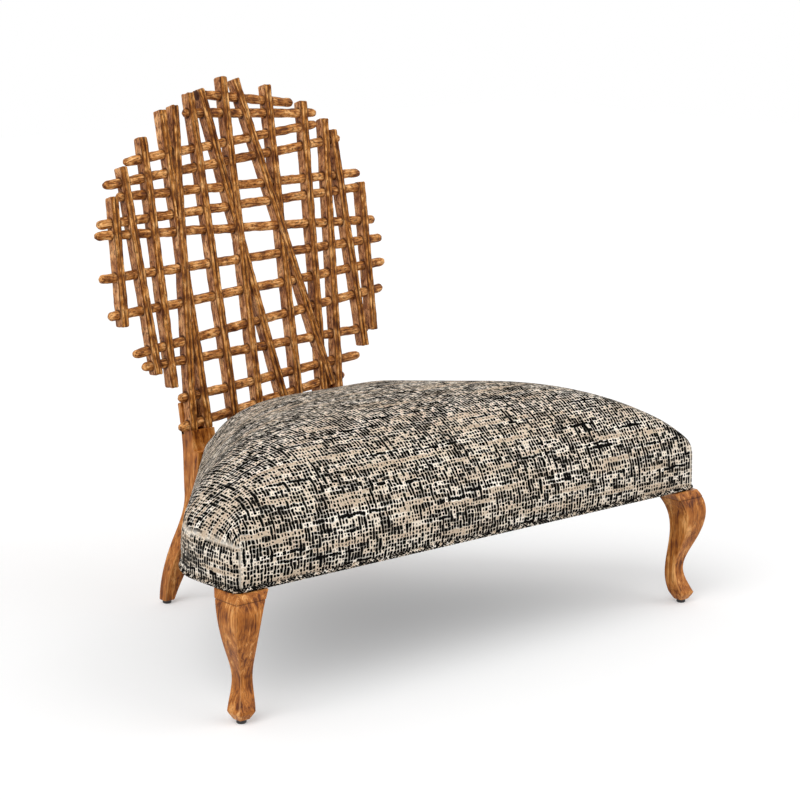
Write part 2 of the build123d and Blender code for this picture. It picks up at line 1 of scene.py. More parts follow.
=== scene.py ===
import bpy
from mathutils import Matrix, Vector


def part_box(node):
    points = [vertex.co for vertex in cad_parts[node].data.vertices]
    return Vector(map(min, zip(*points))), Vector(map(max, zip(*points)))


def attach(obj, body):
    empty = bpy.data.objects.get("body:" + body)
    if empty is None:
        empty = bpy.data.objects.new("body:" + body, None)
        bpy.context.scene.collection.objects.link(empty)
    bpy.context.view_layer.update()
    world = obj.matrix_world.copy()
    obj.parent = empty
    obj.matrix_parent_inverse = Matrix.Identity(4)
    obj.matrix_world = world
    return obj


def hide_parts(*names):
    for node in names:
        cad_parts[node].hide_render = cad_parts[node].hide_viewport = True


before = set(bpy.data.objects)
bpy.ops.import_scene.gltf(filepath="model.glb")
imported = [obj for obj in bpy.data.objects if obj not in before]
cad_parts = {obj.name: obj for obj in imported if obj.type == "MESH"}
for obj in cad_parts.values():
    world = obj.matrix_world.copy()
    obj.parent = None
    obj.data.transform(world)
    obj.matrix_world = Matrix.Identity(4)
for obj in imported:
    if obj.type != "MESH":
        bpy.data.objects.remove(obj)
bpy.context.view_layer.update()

# %% [markdown]
# # A low chair with a back of crossed twigs
# The chair has a wide domed seat in tweed, two curved front legs, two swept rear legs that
# run on up as posts, and a round leaning back of twigs and rods that cross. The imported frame
# gives every piece's place, so each piece below is made where the frame has it. This cell
# brings in the modules, and reads the sizes that several pieces share, in metres.

# %% Modules and shared sizes
from math import atan2, cos, pi, radians, sin, sqrt

import bmesh
import bpy
import numpy as np
from mathutils import Vector, noise
from mathutils.bvhtree import BVHTree

MM = 0.001
BAND_HEIGHT = 81 * MM
seat_low, seat_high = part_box("seat_cover")
seat_half = seat_high.x
seat_front = seat_low.y
seat_depth = seat_high.y - seat_low.y
seat_base = seat_low.z
seam_height = seat_base + BAND_HEIGHT
print("seat:", round(2 * seat_half, 3), "wide,", round(seat_depth, 3), "deep")

# %% [markdown]
# ## Camera
# The chair is seen from its front left corner, a little above the seat, through a long lens.
# The direction is known, so to_track_quat turns the camera to it without any fitting.

# %% Camera
camera_data = bpy.data.cameras.new("camera")
camera_data.lens = 106.15
camera_data.sensor_width = 36.0
camera = bpy.data.objects.new("camera", camera_data)
camera.location = (-2.8881, -3.5171, 1.3900)
camera.rotation_euler = Vector((0.6375, 0.7426, -0.2052)).to_track_quat("-Z", "Y").to_euler()
bpy.context.collection.objects.link(camera)
bpy.context.scene.camera = camera
bpy.context.scene.view_settings.view_transform = "Standard"
print("camera:", round(camera.location.length, 2), "m from the chair's middle on the floor")

# %% [markdown]
# ## Helpers for materials
# Colours are written as sRGB hex values and turned to linear in one place. A node is added
# with its settings and its inputs in one call. An input is a number, a colour, another
# node's socket, or another node, which stands for its first output. Every material ends in
# the same way, with nodes linked to its shader and a bump, so one function does that.

# %% Colours and nodes
def colour(code):
    """An sRGB hex colour as linear RGBA."""
    channels = [int(code[i : i + 2], 16) / 255 for i in (1, 3, 5)]
    return (*[c / 12.92 if c <= 0.04045 else ((c + 0.055) / 1.055) ** 2.4 for c in channels], 1.0)


def output_of(value):
    """A node stands for its first output; anything else stands for itself."""
    return value.outputs[0] if isinstance(value, bpy.types.Node) else value


def add_node(tree, kind, inputs=None, steps=(), **settings):
    """Adds a node with its settings and links. steps are a ramp's (position, hex) pairs."""
    node = tree.nodes.new("ShaderNode" + kind)
    for name, value in settings.items():
        setattr(node, name, value)
    for position, code in steps[2:]:
        node.color_ramp.elements.new(position)
    for i, (position, code) in enumerate(steps):
        node.color_ramp.elements[i].position = position
        node.color_ramp.elements[i].color = colour(code)
    for socket, value in (inputs or {}).items():
        value = output_of(value)
        if isinstance(value, bpy.types.NodeSocket):
            tree.links.new(value, node.inputs[socket])
        else:
            node.inputs[socket].default_value = value
    return node


# %% Material and surface
def new_material(name, **surface):
    """A material's node tree, and its Principled shader with sockets set by name."""
    material = bpy.data.materials.new(name)
    material.use_nodes = True
    shader = material.node_tree.nodes["Principled BSDF"]
    for socket, value in surface.items():
        shader.inputs[socket.replace("_", " ")].default_value = value
    return material, material.node_tree, shader


def link_surface(tree, shader, height, strength, depth, invert=False, **surface):
    """Links nodes to the shader's sockets by name, and a height to its normal as bumps so deep."""
    bumps = add_node(tree, "Bump", {"Height": height, "Strength": strength, "Distance": depth}, invert=invert)
    for socket, value in surface.items():
        tree.links.new(output_of(value), shader.inputs[socket.replace("_", " ")])
    tree.links.new(bumps.outputs[0], shader.inputs["Normal"])


def camera_rays(tree):
    """One for rays from the camera, also after a mirror or glass, and zero for rays that bring light."""
    ray = add_node(tree, "LightPath").outputs
    mirrored = add_node(tree, "Math", {0: ray["Is Glossy Ray"], 1: ray["Is Transmission Ray"]},
                        operation="MAXIMUM")
    return add_node(tree, "Math", {0: ray["Is Camera Ray"], 1: mirrored}, operation="MAXIMUM")


# %% [markdown]
# ## Floor, world and lamps
# The light is a plain studio light: one broad soft source high on the left and a weaker one
# on the right, in a white world. Suns with a wide angle do this evenly, where area lamps
# would leave the floor's far side grey. The white around the chair must not come from more
# light on it, so the world and the floor show themselves whiter to the camera through Light
# Path. The floor's extra white is small, which leaves the chair's shadow on it.

# %% World
FILL_STRENGTH, WHITE_STRENGTH = 0.62, 1.0
world = bpy.data.worlds.new("studio")
bpy.context.scene.world = world
world.use_nodes = True
sky = world.node_tree
fill_light = add_node(sky, "Background", {"Color": colour("#FFFFFF"), "Strength": FILL_STRENGTH})
white = add_node(sky, "Background", {"Color": colour("#FFFFFF"), "Strength": WHITE_STRENGTH})
either = add_node(sky, "MixShader", {0: camera_rays(sky), 1: fill_light, 2: white})
sky.links.new(either.outputs[0], sky.nodes["World Output"].inputs["Surface"])

# %% Floor
FLOOR_HALF, FLOOR_LIFT = 9.0, 0.22
floor_mesh = bpy.data.meshes.new("floor")
bm = bmesh.new()
bmesh.ops.create_grid(bm, x_segments=1, y_segments=1, size=FLOOR_HALF)
bm.to_mesh(floor_mesh)
bm.free()
floor = bpy.data.objects.new("floor", floor_mesh)
bpy.context.collection.objects.link(floor)
# painted studio floor: dead matt, so nothing mirrors in it
paper, tree, shader = new_material("matt white studio paint", Roughness=1.0, Specular_IOR_Level=0.0)
shader.inputs["Base Color"].default_value = colour("#E6E6E6")
shader.inputs["Emission Color"].default_value = colour("#FFFFFF")
lift = add_node(tree, "Math", {0: camera_rays(tree), 1: FLOOR_LIFT}, operation="MULTIPLY")
tree.links.new(lift.outputs[0], shader.inputs["Emission Strength"])
floor_mesh.materials.append(paper)
print("floor:", 2 * FLOOR_HALF, "m square")


# %% Suns
def soft_sun(name, place, strength, angle):
    """A sun that shines from a place towards the middle, with soft-edged shadows."""
    data = bpy.data.lights.new(name, "SUN")
    data.energy, data.angle = strength, radians(angle)
    sun = bpy.data.objects.new(name, data)
    sun.rotation_euler = (-Vector(place)).to_track_quat("-Z", "Y").to_euler()
    bpy.context.collection.objects.link(sun)


soft_sun("key sun", (-3.4, -1.2, 3.6), 1.5, 50)
soft_sun("fill sun", (2.6, -3.4, 2.6), 0.7, 60)

# %% [markdown]
# ## The rolled bar
# Twigs, rods, legs and the welt are all bars whose section changes along the way. One way to
# make such a bar is a grid that is rolled up: its columns go round the bar and its rows go
# along it. create_grid gives the faces, each vertex is put in its place, remove_doubles
# closes the seam, and edgeloop_fill closes the two ends. This keeps every bar watertight and
# lets one function serve them all.

# %% Rolled bar
def rolled_bar(rows, columns, place, layers=(), ring=False):
    """A closed bar. place(row, column) gives a vertex's point and its values for the layers."""
    bm = bmesh.new()
    stores = [bm.verts.layers.float_vector.new("grain"), *[bm.verts.layers.float.new(n) for n in layers]]
    bmesh.ops.create_grid(bm, x_segments=columns, y_segments=rows, size=0.5)
    for v in bm.verts:
        column = round((v.co.x + 0.5) * columns) % columns
        row = round((v.co.y + 0.5) * rows)
        v.co, *values = place(row % rows if ring else row, column)
        for store, value in zip(stores, values):
            v[store] = value
    bmesh.ops.remove_doubles(bm, verts=bm.verts, dist=1e-7)
    open_edges = [e for e in bm.edges if e.is_boundary]
    if open_edges:
        bmesh.ops.edgeloop_fill(bm, edges=open_edges)
    bmesh.ops.recalc_face_normals(bm, faces=bm.faces)
    return bm


# %% Finished piece
def finish_piece(name, bm, material, nodes=(), sharp=35):
    """Turns a bmesh into a finished object that rides on the chair."""
    mesh = bpy.data.meshes.new(name)
    bm.to_mesh(mesh)
    bm.free()
    mesh.shade_smooth()
    mesh.set_sharp_from_angle(angle=radians(sharp))
    mesh.materials.append(material)
    piece = bpy.data.objects.new(name, mesh)
    bpy.context.collection.objects.link(piece)
    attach(piece, "root")
    if nodes:
        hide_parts(*nodes)
    return piece


# %% Round rectangle
CORNER_COLUMNS = 4


def round_rectangle(column, half_x, half_y, radius, columns):
    """A column's point on a rectangle with round corners, and the outward normal there."""
    straight_x, straight_y = 2 * (half_x - radius), 2 * (half_y - radius)
    sides = columns - 4 * CORNER_COLUMNS
    along_x = max(1, round(sides / 2 * straight_x / (straight_x + straight_y)))
    along_y = sides // 2 - along_x
    step = column
    for side, (count, length) in enumerate([(along_x, straight_x), (along_y, straight_y)] * 2):
        turn = radians(90 * side)
        forward, outward = Vector((cos(turn), sin(turn))), Vector((sin(turn), -cos(turn)))
        half_across = half_y if side % 2 == 0 else half_x
        if step < count:
            return forward * (step / count - 0.5) * length + outward * half_across, outward
        step -= count
        if step < CORNER_COLUMNS:
            angle = radians(90) * step / CORNER_COLUMNS
            normal = outward * cos(angle) + forward * sin(angle)
            centre = forward * length / 2 + outward * (half_across - radius)
            return centre + normal * radius, normal
        step -= CORNER_COLUMNS
    raise ValueError("the column is past the whole way round")


# %% [markdown]
# ## The finish of the twigs
# The twigs are a hardwood such as teak or mango, sawn and carved, with a dark glaze rubbed in
# and wiped off before a satin lacquer. The glaze stays in the bark's grooves and in small
# pits, and the same dark brown is painted as shade where rods and uprights meet. The sides
# are painted paler and pinker, partly as worn wood and partly as painted light. The grain has
# to follow each twig, so the material reads the twig's own coordinates from an attribute:
# across, deep and along.

# %% Glazed hardwood of the twigs
# dark brown of the glaze and of the legs' pores; the same colour is painted as shade where rods and uprights
# meet, and in the legs' carved step
GLAZE_AND_SHADE = "#401C04"
twig_wood, tree, shader = new_material(
    "glazed and lacquered hardwood", Specular_IOR_Level=0.1, Coat_Weight=0.06, Coat_Roughness=0.18
)
along_twig = add_node(tree, "Attribute", attribute_name="grain")
glaze_and_corner_shade = add_node(tree, "Attribute", attribute_name="glaze_and_corner_shade")
side_wear_and_light = add_node(tree, "Attribute", attribute_name="side")
# streaks 2.6 mm wide and some 26 mm long, blotches of 22 mm, glaze spots 4 mm wide and 8 mm long
twig_place = along_twig.outputs["Vector"]
drawn_out = add_node(tree, "Mapping", {"Vector": twig_place, "Scale": (1, 1, 0.10)})
streaks = add_node(tree, "TexNoise", {"Vector": drawn_out, "Scale": 1 / (2.6 * MM), "Detail": 3.0,
                                      "Roughness": 0.65})
blotches = add_node(tree, "TexNoise", {"Vector": twig_place, "Scale": 1 / (22 * MM), "Detail": 1.0})
spotted = add_node(tree, "Mapping", {"Vector": twig_place, "Scale": (1, 1, 0.55)})
spots = add_node(tree, "TexNoise", {"Vector": spotted, "Scale": 1 / (4.2 * MM), "Detail": 2.0,
                                    "Roughness": 0.6})
tone = add_node(tree, "Math", {0: streaks, 1: 0.64, 2: -0.02}, operation="MULTIPLY_ADD")
tone_2 = add_node(tree, "Math", {0: blotches, 1: 0.40, 2: tone}, operation="MULTIPLY_ADD")
wood_tone = add_node(tree, "ValToRGB", {"Fac": tone_2}, steps=[
    (0.38, "#532604"), (0.46, "#9A5C1F"), (0.53, "#C98339"), (0.62, "#FFC27A")])
# the paler, pinker tone of the sides is partly worn wood and partly painted light
worn_and_lit_tone = add_node(tree, "ValToRGB", {"Fac": tone_2}, steps=[
    (0.37, "#844C2B"), (0.50, "#C08458"), (0.64, "#F2BC8A")])
side_wear_and_light_share = add_node(tree, "Math", {0: side_wear_and_light.outputs["Fac"], 1: 0.65}, operation="MULTIPLY")
bare = add_node(tree, "Mix", {"Factor": side_wear_and_light_share, 6: wood_tone, 7: worn_and_lit_tone}, data_type="RGBA")
spot_mask = add_node(tree, "MapRange", {"Value": spots, "From Min": 0.50, "From Max": 0.66, "To Max": 0.80})
# this mask holds the glaze in the bark's grooves and the painted shade where rods and uprights meet
glaze_and_shade_mask = add_node(tree, "MapRange", {"Value": glaze_and_corner_shade.outputs["Fac"], "From Min": 0.20, "From Max": 0.95,
                                          "To Max": 0.95})
spot_glaze_and_shade_mask = add_node(tree, "Math", {0: spot_mask, 1: glaze_and_shade_mask}, operation="MAXIMUM")
glazed = add_node(tree, "Mix", {"Factor": spot_glaze_and_shade_mask, 6: bare.outputs[2], 7: colour(GLAZE_AND_SHADE)}, data_type="RGBA")
rough = add_node(tree, "MapRange", {"Value": streaks, "To Min": 0.30, "To Max": 0.60})
relief = add_node(tree, "Math", {0: streaks, 1: spots}, operation="SUBTRACT")
link_surface(tree, shader, relief, 0.9, 1.6 * MM, Base_Color=glazed.outputs[2], Roughness=rough)
print("glazed wood:", len(tree.nodes), "nodes")

# %% [markdown]
# ## Where the sticks run
# The back is one flat disc that leans back by 11 degrees. Each twig and rod is a straight
# line in it. The frame's nodes say where: their vertices are turned into the disc's own
# coordinates (right, up and depth behind the front), and the middle between the outermost
# points at each end gives the line.

# %% Sticks measured in the disc's plane
BACK_LEAN = radians(11)
disc_centre = Vector((0, 0.3211, 0.6917))
disc_up = Vector((0, sin(BACK_LEAN), cos(BACK_LEAN)))
disc_back = Vector((0, cos(BACK_LEAN), -sin(BACK_LEAN)))
STICK_WIDTH, STICK_DEPTH = 18 * MM, 25 * MM
END_REACH, LAP_CLEARANCE, LAP_SLOPE = 10 * MM, 1.2 * MM, 1.5 * MM


class Stick:
    """A stick's line: along and across are directions in the disc's plane, low and high its ends
    on it, and offset how far it passes beside the disc's middle."""

    def __init__(self, node):
        points = np.array([v.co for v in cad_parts[node].data.vertices]) - np.array(disc_centre)
        flat = np.stack([points[:, 0], points @ np.array(disc_up)], axis=1)
        self.along = np.linalg.svd(flat - flat.mean(0), full_matrices=False)[2][0]
        for _ in range(3):
            low_middle, high_middle = self.measure(flat)
            slope = (high_middle - low_middle) / (self.high - self.low - END_REACH)
            self.along = self.along + self.across * slope
            self.along /= np.linalg.norm(self.along)
        if self.along[np.argmax(abs(self.along))] < 0:
            self.along = -self.along
        self.offset = sum(self.measure(flat)) / 2

    def measure(self, flat):
        """Sets the ends and gives the middles of the two end parts, for points in the disc's plane."""
        self.across = np.array([self.along[1], -self.along[0]])
        run, sideways = flat @ self.along, flat @ self.across
        self.low, self.high = run.min(), run.max()
        ends = sideways[run < self.low + END_REACH], sideways[run > self.high - END_REACH]
        return [(end.min() + end.max()) / 2 for end in ends]

    def point(self, run, sideways, depth):
        """The point so far along the stick, beside its line, and behind the disc's front."""
        flat = self.along * run + self.across * (self.offset + sideways)
        return disc_centre + Vector((flat[0], 0, 0)) + disc_up * flat[1] + disc_back * depth

    def covers(self, run, sideways, other):
        """How surely a point of the other stick's line lies within this stick's width, 0 to 1."""
        flat = other.along * run + other.across * (other.offset + sideways)
        if not self.low < flat @ self.along < self.high:
            return 0.0
        inside = STICK_WIDTH / 2 + LAP_CLEARANCE - abs(flat @ self.across - self.offset)
        return min(1.0, max(0.0, inside / LAP_SLOPE))

    def crossings(self, others):
        """The runs at which this stick's line meets the lines of others."""
        found = []
        for other in others:
            run = (other.offset - self.offset * (self.across @ other.across)) / (self.along @ other.across)
            theirs = (self.along * run + self.across * self.offset) @ other.along
            if self.low < run < self.high and other.low < theirs < other.high:
                found.append(run)
        return found


uprights = {n: Stick(f"upright_{n:02d}") for n in range(1, 15)}
rods = {n: Stick(f"rod_{n:02d}") for n in range(1, 14)}
for n in (1, 9):
    print("upright", n, "leans", round(np.degrees(atan2(*uprights[n].along)), 2), "degrees")

# %% [markdown]
# ## Uprights
# Each upright is a bar of 18 by 25 mm with a bark face in front: two or three ridges that
# wander along it with dark grooves between. A displaced cube could show this, but a rolled
# bar lets the ridges, the slanting ends and the laps be set row by row. Where two uprights
# cross, each keeps half its depth, so their vertices are pressed to the front or the back.

# %% Places on an upright
# in each pair the first upright passes in front of the second
halved_pairs = [(5, 4), (8, 7), (9, 10), (9, 11)]
ON_POSTS = (4, 5, 12)
UPRIGHT_COLUMNS, UPRIGHT_STEP = 52, 5 * MM
END_SLANT = radians(5)
HALVED = 0.505
ROD_RADIUS = 9.5 * MM
# how far the painted shade reaches from a rod's side
CORNER_SHADE_REACH = 4 * MM


def wobble(size, *place):
    """Smooth noise from -1 to 1 that changes over the given size."""
    return noise.noise(Vector([p / size for p in place] + [0.0] * (3 - len(place))))


def row_runs(length, step):
    """Distances along a bar: close rows at both ends, even rows between."""
    middle = np.linspace(3 * MM, length - 3 * MM, max(2, round(length / step)))
    return [0.0, 1.2 * MM, *middle, length - 1.2 * MM, length]


def bark_depth(x, run, n):
    """How deep the bark face lies behind its highest ridge."""
    drift = [wobble(48 * MM, run, n * 0.37 + k) for k in range(4)]
    left, hollow, right = -3.4 + 1.8 * drift[0], 1.0 + 2.0 * drift[1], 5.6 + 1.2 * drift[2]
    depths = [3.4, 1.4, 0.3 * abs(drift[3]), 1.9 + 1.4 * drift[3], 0.5 * abs(drift[0]), 1.5, 3.4]
    ridges = np.interp(x / MM, [-9, -7.2, left, hollow, right, 7.8, 9], depths) * MM
    fine = 0.7 * MM * noise.noise(Vector((x / (2.2 * MM), run / (24 * MM), n * 3.1)))
    return max(0.0, ridges + fine)


def upright_place(n, runs):
    """The place function of an upright, for rolled_bar."""
    stick = uprights[n]
    last = len(runs) - 1
    rods_through = stick.crossings(rods.values())

    def place(row, column):
        run = runs[row]
        swell = 1 + 0.10 * wobble(42 * MM, run, n * 0.7)
        shrink = 0.86 if row in (0, last) else 0.965 if row in (1, last - 1) else 1.0
        flat, normal = round_rectangle(
            column, STICK_WIDTH / 2 * swell * shrink, STICK_DEPTH / 2 * shrink, 2.4 * MM, UPRIGHT_COLUMNS)
        facing = max(0.0, -normal.y)
        sunk = bark_depth(flat.x, run, n) * facing
        dent = 1.0 * MM * wobble(15 * MM, run, flat.y, n * 1.3) * abs(normal.x)
        depth = STICK_DEPTH / 2 + flat.y + sunk
        sideways = flat.x + normal.x * dent + 0.7 * MM * wobble(110 * MM, run, n * 2.9)
        rough_end = 1.3 * MM * wobble(6 * MM, flat.x, flat.y, n)
        low = depth * np.tan(END_SLANT) + rough_end
        high = runs[-1] - depth * np.tan(END_SLANT) + rough_end
        if n in ON_POSTS:
            low = 0.0
        share = run / runs[-1]
        real_run = stick.low + low + share * (high - low)
        for front, back in halved_pairs:
            if n == front:
                depth -= uprights[back].covers(real_run, sideways, stick) * depth * HALVED
            if n == back:
                depth += uprights[front].covers(real_run, sideways, stick) * (STICK_DEPTH - depth) * HALVED
        grain = Vector((flat.x, depth, real_run + 1.7 * n))
        glaze_with_shade = sunk / (2.2 * MM)
        for crossing in rods_through:
            # painted shade: the corner where a rod comes out of the side is darkened as shade
            from_rod = sqrt((real_run - crossing) ** 2 + (depth - STICK_DEPTH / 2) ** 2) - ROD_RADIUS
            glaze_with_shade = max(glaze_with_shade, abs(normal.x) * (1 - from_rod / CORNER_SHADE_REACH))
        # the last value paints the sides paler: partly worn wood and partly painted light
        return stick.point(real_run, sideways, depth), grain, glaze_with_shade, abs(normal.x)

    return place


# %% The fourteen uprights
for n, stick in uprights.items():
    runs = row_runs(stick.high - stick.low, UPRIGHT_STEP)
    bm = rolled_bar(len(runs) - 1, UPRIGHT_COLUMNS, upright_place(n, runs), ("glaze_and_corner_shade", "side"))
    twig = finish_piece(f"twig_upright_{n}", bm, twig_wood, [f"upright_{n:02d}"])
print("uprights:", len(uprights), "with", len(twig.data.polygons), "faces in the last")

# %% [markdown]
# ## Rods
# The cross rods are round, 19 mm thick, a little knobbly, and whittled to blunt points where
# they stand out past the last upright. They are rolled bars as well, with their radius
# changed by noise and drawn in over the last few millimetres, where a knife left flats.

# %% Places on a rod
ROD_COLUMNS = 28
ROD_DEPTH = STICK_DEPTH / 2


def rod_runs(length):
    """Distances along a rod: close rows at its tips, even rows between."""
    tip = [0.0, 0.6 * MM, 1.6 * MM, 3 * MM, 5 * MM, 8 * MM]
    middle = np.linspace(12 * MM, length - 12 * MM, round(length / (5.5 * MM)))
    return [*tip, *middle, *[length - t for t in reversed(tip)]]


def rod_place(n, runs):
    """The place function of a rod, for rolled_bar."""
    stick = rods[n]
    in_uprights = [run - stick.low for run in stick.crossings(uprights.values())]

    def place(row, column):
        run = runs[row]
        angle = 2 * pi * column / ROD_COLUMNS
        from_tip = min(run, runs[-1] - run) / (10 * MM)
        drawn_in = sqrt(1 - 0.86 * max(0.0, 1 - from_tip) ** 2)
        flats = 1 - 0.09 * max(0.0, 1.8 - from_tip) * abs(sin(2.5 * angle + n))
        knob = 0.13 * noise.noise(Vector((cos(angle), sin(angle), run / (19 * MM) + n * 5.3)))
        ripple = 0.06 * noise.noise(Vector((2.6 * cos(angle), 2.6 * sin(angle), run / (9 * MM) + n)))
        radius = ROD_RADIUS * (1 + knob + ripple) * drawn_in * min(1.0, flats)
        bend = 1.2 * MM * wobble(70 * MM, run, n * 1.9)
        x, y = radius * cos(angle), radius * sin(angle)
        grain = Vector((x, y, run + 2.3 * n + 40))
        # painted shade: the rod is darkened within 5 mm of each upright it passes through; the glaze in its
        # hollows is real
        from_upright = min(abs(run - crossing) for crossing in in_uprights) - STICK_WIDTH / 2
        corner = 1 - max(0.0, from_upright) / (5 * MM)
        glaze_with_shade = max(corner, -7 * (knob + ripple))
        # the last value paints the whole rod a share paler: partly worn wood and partly painted highlight
        return stick.point(stick.low + run, x + bend, ROD_DEPTH + y), grain, glaze_with_shade, 0.3

    return place


# %% The thirteen rods
for n, stick in rods.items():
    runs = rod_runs(stick.high - stick.low)
    bm = rolled_bar(len(runs) - 1, ROD_COLUMNS, rod_place(n, runs), ("glaze_and_corner_shade", "side"))
    finish_piece(f"twig_rod_{n}", bm, twig_wood, [f"rod_{n:02d}"], sharp=50)
print("rods:", len(rods), "the longest", round(max(s.high - s.low for s in rods.values()), 3), "m")

# %% [markdown]
# ## The finish of the legs
# The legs and posts are the same hardwood, planed smooth, stained honey brown and lacquered
# satin. Long darker figure and short pores run up the wood. The arrises are painted paler,
# partly as worn stain and partly as painted highlight, and the small carved step is darkened
# with painted shade. The legs are sawn from straight blocks, so the grain runs up through
# their curves and plain object coordinates are right for it.

# %% Stained hardwood of the legs
leg_wood, tree, shader = new_material(
    "stained and lacquered hardwood", Specular_IOR_Level=0.15, Coat_Weight=0.08, Coat_Roughness=0.2
)
place_in_wood = add_node(tree, "TexCoord")
edge_wear_and_highlight_attribute = add_node(tree, "Attribute", attribute_name="edge_wear_and_highlight")
painted_step_shade = add_node(tree, "Attribute", attribute_name="painted_step_shade")
upwards = add_node(tree, "Mapping", {"Vector": place_in_wood.outputs["Object"], "Scale": (1, 1, 0.07)})
# figure 8 mm wide and 115 mm long, pores 1.6 mm wide and 23 mm long, clouds of 35 mm
figure = add_node(tree, "TexNoise", {"Vector": upwards, "Scale": 1 / (8 * MM), "Detail": 4.0,
                                     "Roughness": 0.66, "Distortion": 0.6})
pores = add_node(tree, "TexNoise", {"Vector": upwards, "Scale": 1 / (1.6 * MM), "Detail": 1.0})
clouds = add_node(tree, "TexNoise", {"Vector": place_in_wood.outputs["Object"], "Scale": 1 / (35 * MM)})
shade = add_node(tree, "Math", {0: clouds, 1: 0.40, 2: -0.02}, operation="MULTIPLY_ADD")
shade_2 = add_node(tree, "Math", {0: figure, 1: 0.64, 2: shade}, operation="MULTIPLY_ADD")
stain = add_node(tree, "ValToRGB", {"Fac": shade_2}, steps=[
    (0.39, "#5E2B05"), (0.46, "#99571D"), (0.54, "#B87230"), (0.64, "#E5A662")])
pore_mask = add_node(tree, "MapRange", {"Value": pores, "From Min": 0.58, "From Max": 0.68, "To Max": 0.62})
# dark pores, and painted shade in the carved step
pore_and_step_shade_mask = add_node(tree, "Math", {0: pore_mask, 1: painted_step_shade.outputs["Fac"]}, operation="MAXIMUM")
stained = add_node(tree, "Mix", {"Factor": pore_and_step_shade_mask, 6: stain, 7: colour(GLAZE_AND_SHADE)}, data_type="RGBA")
# the paler arrises are partly worn stain and partly painted highlight
edge_mask = add_node(tree, "Math", {0: edge_wear_and_highlight_attribute.outputs["Fac"], 1: 0.40}, operation="MULTIPLY")
rubbed_and_highlit = add_node(tree, "Mix", {"Factor": edge_mask, 6: stained.outputs[2], 7: colour("#D29A62")},
                  data_type="RGBA")
satin = add_node(tree, "MapRange", {"Value": figure, "To Min": 0.30, "To Max": 0.52})
link_surface(tree, shader, pore_mask, 0.5, 0.25 * MM, invert=True, Base_Color=rubbed_and_highlit.outputs[2],
             Roughness=satin)
print("stained wood:", len(tree.nodes), "nodes")

# %% [markdown]
# ## Front and rear legs
# Every level cut through a leg is a rectangle, because each leg is sawn to one curve seen
# from the front and to another seen from the side. So the frame's leg is measured level by
# level, and a rolled bar goes through those rectangles with its arrises rounded and a small
# carved step under the seat.

# %% Levels of a leg
LEG_COLUMNS = 48


def level_box(node, z):
    """The rectangle (x0, x1, y0, y1) in which a level plane cuts a node."""
    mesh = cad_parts[node].data
    points = np.array([v.co for v in mesh.vertices])
    edges = np.array([e.vertices for e in mesh.edges])
    a, b = points[edges[:, 0]], points[edges[:, 1]]
    crossing = (a[:, 2] - z) * (b[:, 2] - z) <= 0
    a, b = a[crossing], b[crossing]
    rise = b[:, 2] - a[:, 2]
    share = np.where(abs(rise) < 1e-9, 0.0, (z - a[:, 2]) / np.where(abs(rise) < 1e-9, 1.0, rise))
    cut = a + (b - a) * share[:, None]
    return cut[:, 0].min(), cut[:, 0].max(), cut[:, 1].min(), cut[:, 1].max()


def leg_row(box, arris, column, swell=0.0):
    """A point on a leg's rounded rectangle, and how far it is on an arris."""
    x0, x1, y0, y1 = box
    flat, normal = round_rectangle(column, (x1 - x0) / 2 + swell, (y1 - y0) / 2 + swell, arris, LEG_COLUMNS)
    # how far a point lies on an arris, where the material paints it paler as wear and painted highlight
    edge_wear_and_highlight = min(abs(normal.x), abs(normal.y)) / sqrt(0.5)
    return (x0 + x1) / 2 + flat.x, (y0 + y1) / 2 + flat.y, edge_wear_and_highlight


# %% Places on a front leg
STEP_HEIGHT, STEP_REACH = 222 * MM, 1.3 * MM
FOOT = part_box("front_leg_left")[0].z
FOOT_ROUND = 1.2 * MM


def front_leg_place(node):
    """The number of rows and the place function of a front leg, for rolled_bar."""
    step_levels = [STEP_HEIGHT - 1.2 * MM, STEP_HEIGHT, STEP_HEIGHT + 1.2 * MM]
    plain = np.linspace(FOOT + 3 * MM, seat_base - 3 * MM, 58)
    levels = sorted([FOOT, FOOT + 1 * MM, *plain, *step_levels, seat_base - 0.1 * MM])
    boxes = [level_box(node, min(max(z, FOOT + 0.2 * MM), seat_base - 0.2 * MM)) for z in levels]

    def place(row, column):
        z = levels[row]
        step = max(0.0, 1 - abs(z - STEP_HEIGHT) / STEP_REACH)
        swell = -0.9 * MM * step + (0.5 * MM if z > STEP_HEIGHT else 0.0)
        if row == 0:
            swell -= FOOT_ROUND
        arris = np.interp(z, [FOOT, 0.03, 0.06, seat_base], [3.5, 3.5, 2.2, 1.6]) * MM
        x, y, edge_wear_and_highlight = leg_row(boxes[row], arris, column, swell)
        # the last value paints the carved step dark as shade
        return Vector((x, y, z)), Vector((x, y, z)), edge_wear_and_highlight, 0.85 * step

    return len(levels) - 1, place


# %% Both front legs
for side in ("left", "right"):
    rows, place = front_leg_place(f"front_leg_{side}")
    bm = rolled_bar(rows, LEG_COLUMNS, place, ("edge_wear_and_highlight", "painted_step_shade"))
    finish_piece(f"cabriole_leg_{side}", bm, leg_wood, [f"front_leg_{side}"], sharp=50)
print("front legs:", rows + 1, "levels each")

# %% Places on a rear leg and its post
# heights in the disc's plane, from its middle, and depths behind its front
SHOULDER_UP, TONGUE_TOP_UP = -338.5 * MM, -281 * MM
POST_TOP_DEPTH = 36 * MM
TONGUE_FRONT = STICK_DEPTH + 0.3 * MM


